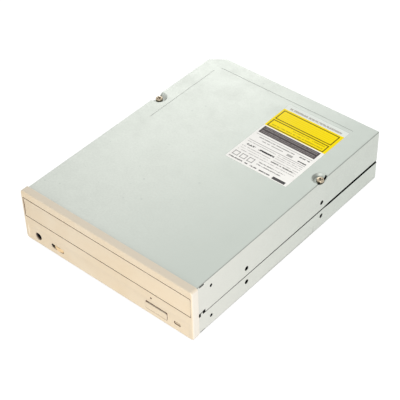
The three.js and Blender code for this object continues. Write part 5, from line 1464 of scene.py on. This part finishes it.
# Count, rows, pitch, half width, floor and length of the pins of each connector, in millimetres
PINS = {
    "data_connector": (20, 2, 2.54, 0.32, 2, 6),
    "power_connector": (4, 1, 5.08, 1.05, 2, 7.6),
    "audio_connector": (4, 1, 2.54, 0.32, 2, 5),
    "digital_audio_connector": (2, 1, 2.54, 0.32, 2, 5),
    "jumper_block": (5, 2, 2.54, 0.32, 2.5, 6),
}
PIN_PLAY = {"floor": 0.05, "end": 0.1, "side": 0.08}

# The room for the loader frame's side teeth: its depth, and its near, far, low and high end
TOOTH_DEPTH, TOOTH_SPACE = 1.05 * MM, mm(3.5, 8.5, 14, 19)


def tin_pins(piece, node, material):
    """Gives a connector's pins their own finish.

    A face belongs to a pin when its middle lies past the socket's floor, before the pin's end, and no
    further than the pin's half width from the nearest place of the pin grid, along X and along Z.
    """
    count, rows, pitch, half, floor, reach = PINS[node]
    middle_x, middle_z, low, _ = middle_of(node)
    faces = piece.data.polygons
    centres = np.empty(len(faces) * 3)
    faces.foreach_get("center", centres)
    x, y, z = centres.reshape(-1, 3).T
    start, end = (floor + PIN_PLAY["floor"]) * MM, (floor + reach + PIN_PLAY["end"]) * MM
    is_pin = (y > low.y + start) & (y < low.y + end)
    for places, middle, number in ((x, middle_x, count), (z, middle_z, rows)):
        step = (places - middle) / (pitch * MM) + (number - 1) / 2
        nearest = np.clip(np.round(step), 0, number - 1)
        is_pin &= np.abs(step - nearest) * pitch < half + PIN_PLAY["side"]
    piece.data.materials.append(material)
    faces.foreach_set("material_index", is_pin.astype(np.int32))


def seam_dark_plate():
    """A matte black plate behind the rear half of the right seam, standing partly for the black frame inside
    and partly for painted shade, so that the gap shows black: a thin plate with round corners and edges.
    """
    inner, outer, edge = SIDE - 1.07 * MM, SIDE - 0.92 * MM, 0.05 * MM
    near, far, low, high, corner = mm(130, 191.75, 11.5, 19.5, 1.5)
    shape = rectangle(FRONT + near, FRONT + far, low, high, corner, 6)
    return smooth(solid("seam_dark_plate", carried(shape, rounded_ends(edge, inner, outer, 3), ALONG_X)))


def tooth_space():
    """The room in which the loader frame's side teeth are cut back behind the seam."""
    return solid("teeth", *on_both_sides(SIDE - TOOTH_DEPTH, SIDE, *TOOTH_SPACE))


class DRIVE_OT_inside(Operator):
    """Round the edges of the tray, the frame and the connectors, and give every other piece its finish"""

    bl_idname = "drive.inside"
    bl_label = "Tray, drive and traverse"

    def execute(self, context):
        finish = finishes(context.scene)
        for node, (width, name, slot) in ROUNDED.items():
            cutter = tooth_space() if node == "loader_frame" else None
            piece = rounded_node(node, width * MM, finish[name], slot, cutter=cutter)
            if node in PINS:
                tin_pins(piece, node, finish["tin"])
        # The dark plate behind the seam, partly painted shade
        dress(seam_dark_plate(), "case", "black_plastic", finish["tape"])
        for name, nodes in PAINTED.items():
            for node in nodes:
                paint(node, finish[name])
        return {"FINISHED"}


# The stage

KEY_PLACE = mm(730, -690, 300)
SHEEN_PLACE = mm(-750, 850, 480)
VIEW_END = 20

# The floor's paper: how much light it sends back where it is seen and where it isn't, and its glow
PAPER_SHOWN, PAPER_BOUNCE, PAPER_GLOW = 0.3, 0.72, 0.82


def grey(level):
    return (level, level, level, 1)


def seen_directly(tree):
    """Whether a ray comes from the camera, also by way of a mirror or glass."""
    path = add(tree, "ShaderNodeLightPath").outputs
    seen = calculate(tree, "MAXIMUM", path["Is Camera Ray"], path["Is Glossy Ray"])
    return calculate(tree, "MAXIMUM", seen, path["Is Transmission Ray"])


def paper():
    """White that keeps a shadow: a dark diffuse part and a glow where it is seen, and grey for other rays.

    From below it is clear.
    """
    material = bpy.data.materials.new("floor_paper")
    material.use_nodes = True
    tree = material.node_tree
    tree.nodes.clear()

    def shader(kind, values=None):
        return add(tree, kind, values).outputs[0]

    shadowed = shader("ShaderNodeBsdfDiffuse", {"Color": grey(PAPER_SHOWN)})
    glow = shader("ShaderNodeEmission", {"Color": grey(1), "Strength": PAPER_GLOW})
    shown = shader("ShaderNodeAddShader", {0: shadowed, 1: glow})
    bounce = shader("ShaderNodeBsdfDiffuse", {"Color": grey(PAPER_BOUNCE)})
    above = shader("ShaderNodeMixShader", {0: seen_directly(tree), 1: bounce, 2: shown})
    under = add(tree, "ShaderNodeNewGeometry").outputs["Backfacing"]
    surface = shader("ShaderNodeMixShader", {0: under, 1: above, 2: shader("ShaderNodeBsdfTransparent")})
    add(tree, "ShaderNodeOutputMaterial", {"Surface": surface})
    return material


def stage_floor(stage):
    """A wide floor that shows white, less what the object's shadow takes away."""
    half, level = stage.floor / 2, -stage.drop
    points = [(-half, -half, level), (half, -half, level), (half, half, level), (-half, half, level)]
    mesh = bpy.data.meshes.new("floor")
    mesh.from_pydata(points, [], [(0, 1, 2, 3)])
    mesh.materials.append(paper())
    floor = bpy.data.objects.new("floor", mesh)
    bpy.context.scene.collection.objects.link(floor)


def white_world(scene, brightness):
    """Surroundings that show and reflect as white, and light the object at a plain level."""
    world = bpy.data.worlds.new("studio")
    world.use_nodes = True
    tree = world.node_tree
    tree.nodes.clear()
    level = spread(tree, seen_directly(tree), 0, 1, brightness, 1)
    light = add(tree, "ShaderNodeBackground", {"Color": grey(1), "Strength": level}).outputs[0]
    add(tree, "ShaderNodeOutputWorld", {"Surface": light})
    scene.world = world


def hang(name, data, place, right, back):
    """A lamp or camera at a place, with its own axes: right, up and away from what it faces."""
    holder = bpy.data.objects.new(name, data)
    matrix = np.eye(4)
    matrix[:3, :3] = np.stack([right, np.cross(back, right), back], 1)
    matrix[:3, 3] = place
    holder.matrix_world = Matrix(matrix.tolist())
    bpy.context.scene.collection.objects.link(holder)
    return holder


def softbox(name, power, size, place, target):
    """A square area lamp that faces its target."""
    lamp = bpy.data.lights.new(name, "AREA")
    lamp.energy = power
    lamp.size = size
    away = np.array(place) - np.array(target)
    back = away / np.linalg.norm(away)
    right = np.cross(UP, back)
    hang(name, lamp, place, right / np.linalg.norm(right), back)


def stage_camera(stage):
    """The camera on a sphere about its target, turned by azimuth, elevation and roll."""
    a, e, r = stage.azimuth, stage.elevation, stage.roll
    back = np.array([math.sin(a) * math.cos(e), -math.cos(a) * math.cos(e), math.sin(e)])
    level = np.array([math.cos(a), math.sin(a), 0])
    right = math.cos(r) * level + math.sin(r) * np.cross(back, level)
    data = bpy.data.cameras.new("camera")
    data.lens = stage.focal
    data.clip_end = VIEW_END
    place = np.array(stage.target) + back * stage.distance
    bpy.context.scene.camera = hang("camera", data, place, right, back)


class DRIVE_OT_stage(Operator):
    """Make the floor, the surroundings, the lamps and the camera"""

    bl_idname = "drive.stage"
    bl_label = "Stage"

    def execute(self, context):
        scene = context.scene
        stage = scene.drive_stage
        scene.view_settings.view_transform = "Standard"
        stage_floor(stage)
        white_world(scene, stage.sky)
        middle = (0, 0, HEIGHT / 2)
        softbox("key", stage.key, stage.lamp, KEY_PLACE, middle)
        softbox("sheen", stage.sheen, stage.lamp, SHEEN_PLACE, middle)
        stage_camera(stage)
        return {"FINISHED"}


STEPS = (
    DRIVE_OT_stage, DRIVE_OT_case, DRIVE_OT_screws, DRIVE_OT_label, DRIVE_OT_bezel, DRIVE_OT_door,
    DRIVE_OT_controls, DRIVE_OT_inside,
)


class DRIVE_PT_tools(Panel):
    """Lists the steps that build the drive, with its sizes and colours"""

    bl_label = "CD-RW Drive"
    bl_idname = "DRIVE_PT_tools"
    bl_space_type = "VIEW_3D"
    bl_region_type = "UI"
    bl_category = "Drive"

    def draw(self, context):
        layout = self.layout
        for step in STEPS:
            layout.operator(step.bl_idname)
        for name in SETTINGS:
            settings = getattr(context.scene, name)
            box = layout.box()
            for key in settings.bl_rna.properties.keys():
                if key not in ("rna_type", "name"):
                    box.prop(settings, key)


SETTINGS = {
    "drive_case": DriveCase, "drive_front": DriveFront,
    "drive_colours": DriveColours, "drive_stage": DriveStage,
}


def register():
    for cls in (*SETTINGS.values(), *STEPS, DRIVE_PT_tools):
        bpy.utils.register_class(cls)
    for name, cls in SETTINGS.items():
        setattr(bpy.types.Scene, name, PointerProperty(type=cls))


def unregister():
    for name in SETTINGS:
        delattr(bpy.types.Scene, name)
    for cls in reversed((*SETTINGS.values(), *STEPS, DRIVE_PT_tools)):
        bpy.utils.unregister_class(cls)


def main():
    register()
    bpy.ops.drive.stage()
    bpy.ops.drive.case()
    bpy.ops.drive.screws()
    bpy.ops.drive.label()
    bpy.ops.drive.bezel()
    bpy.ops.drive.door()
    bpy.ops.drive.controls()
    bpy.ops.drive.inside()


if __name__ == "__main__":
    main()
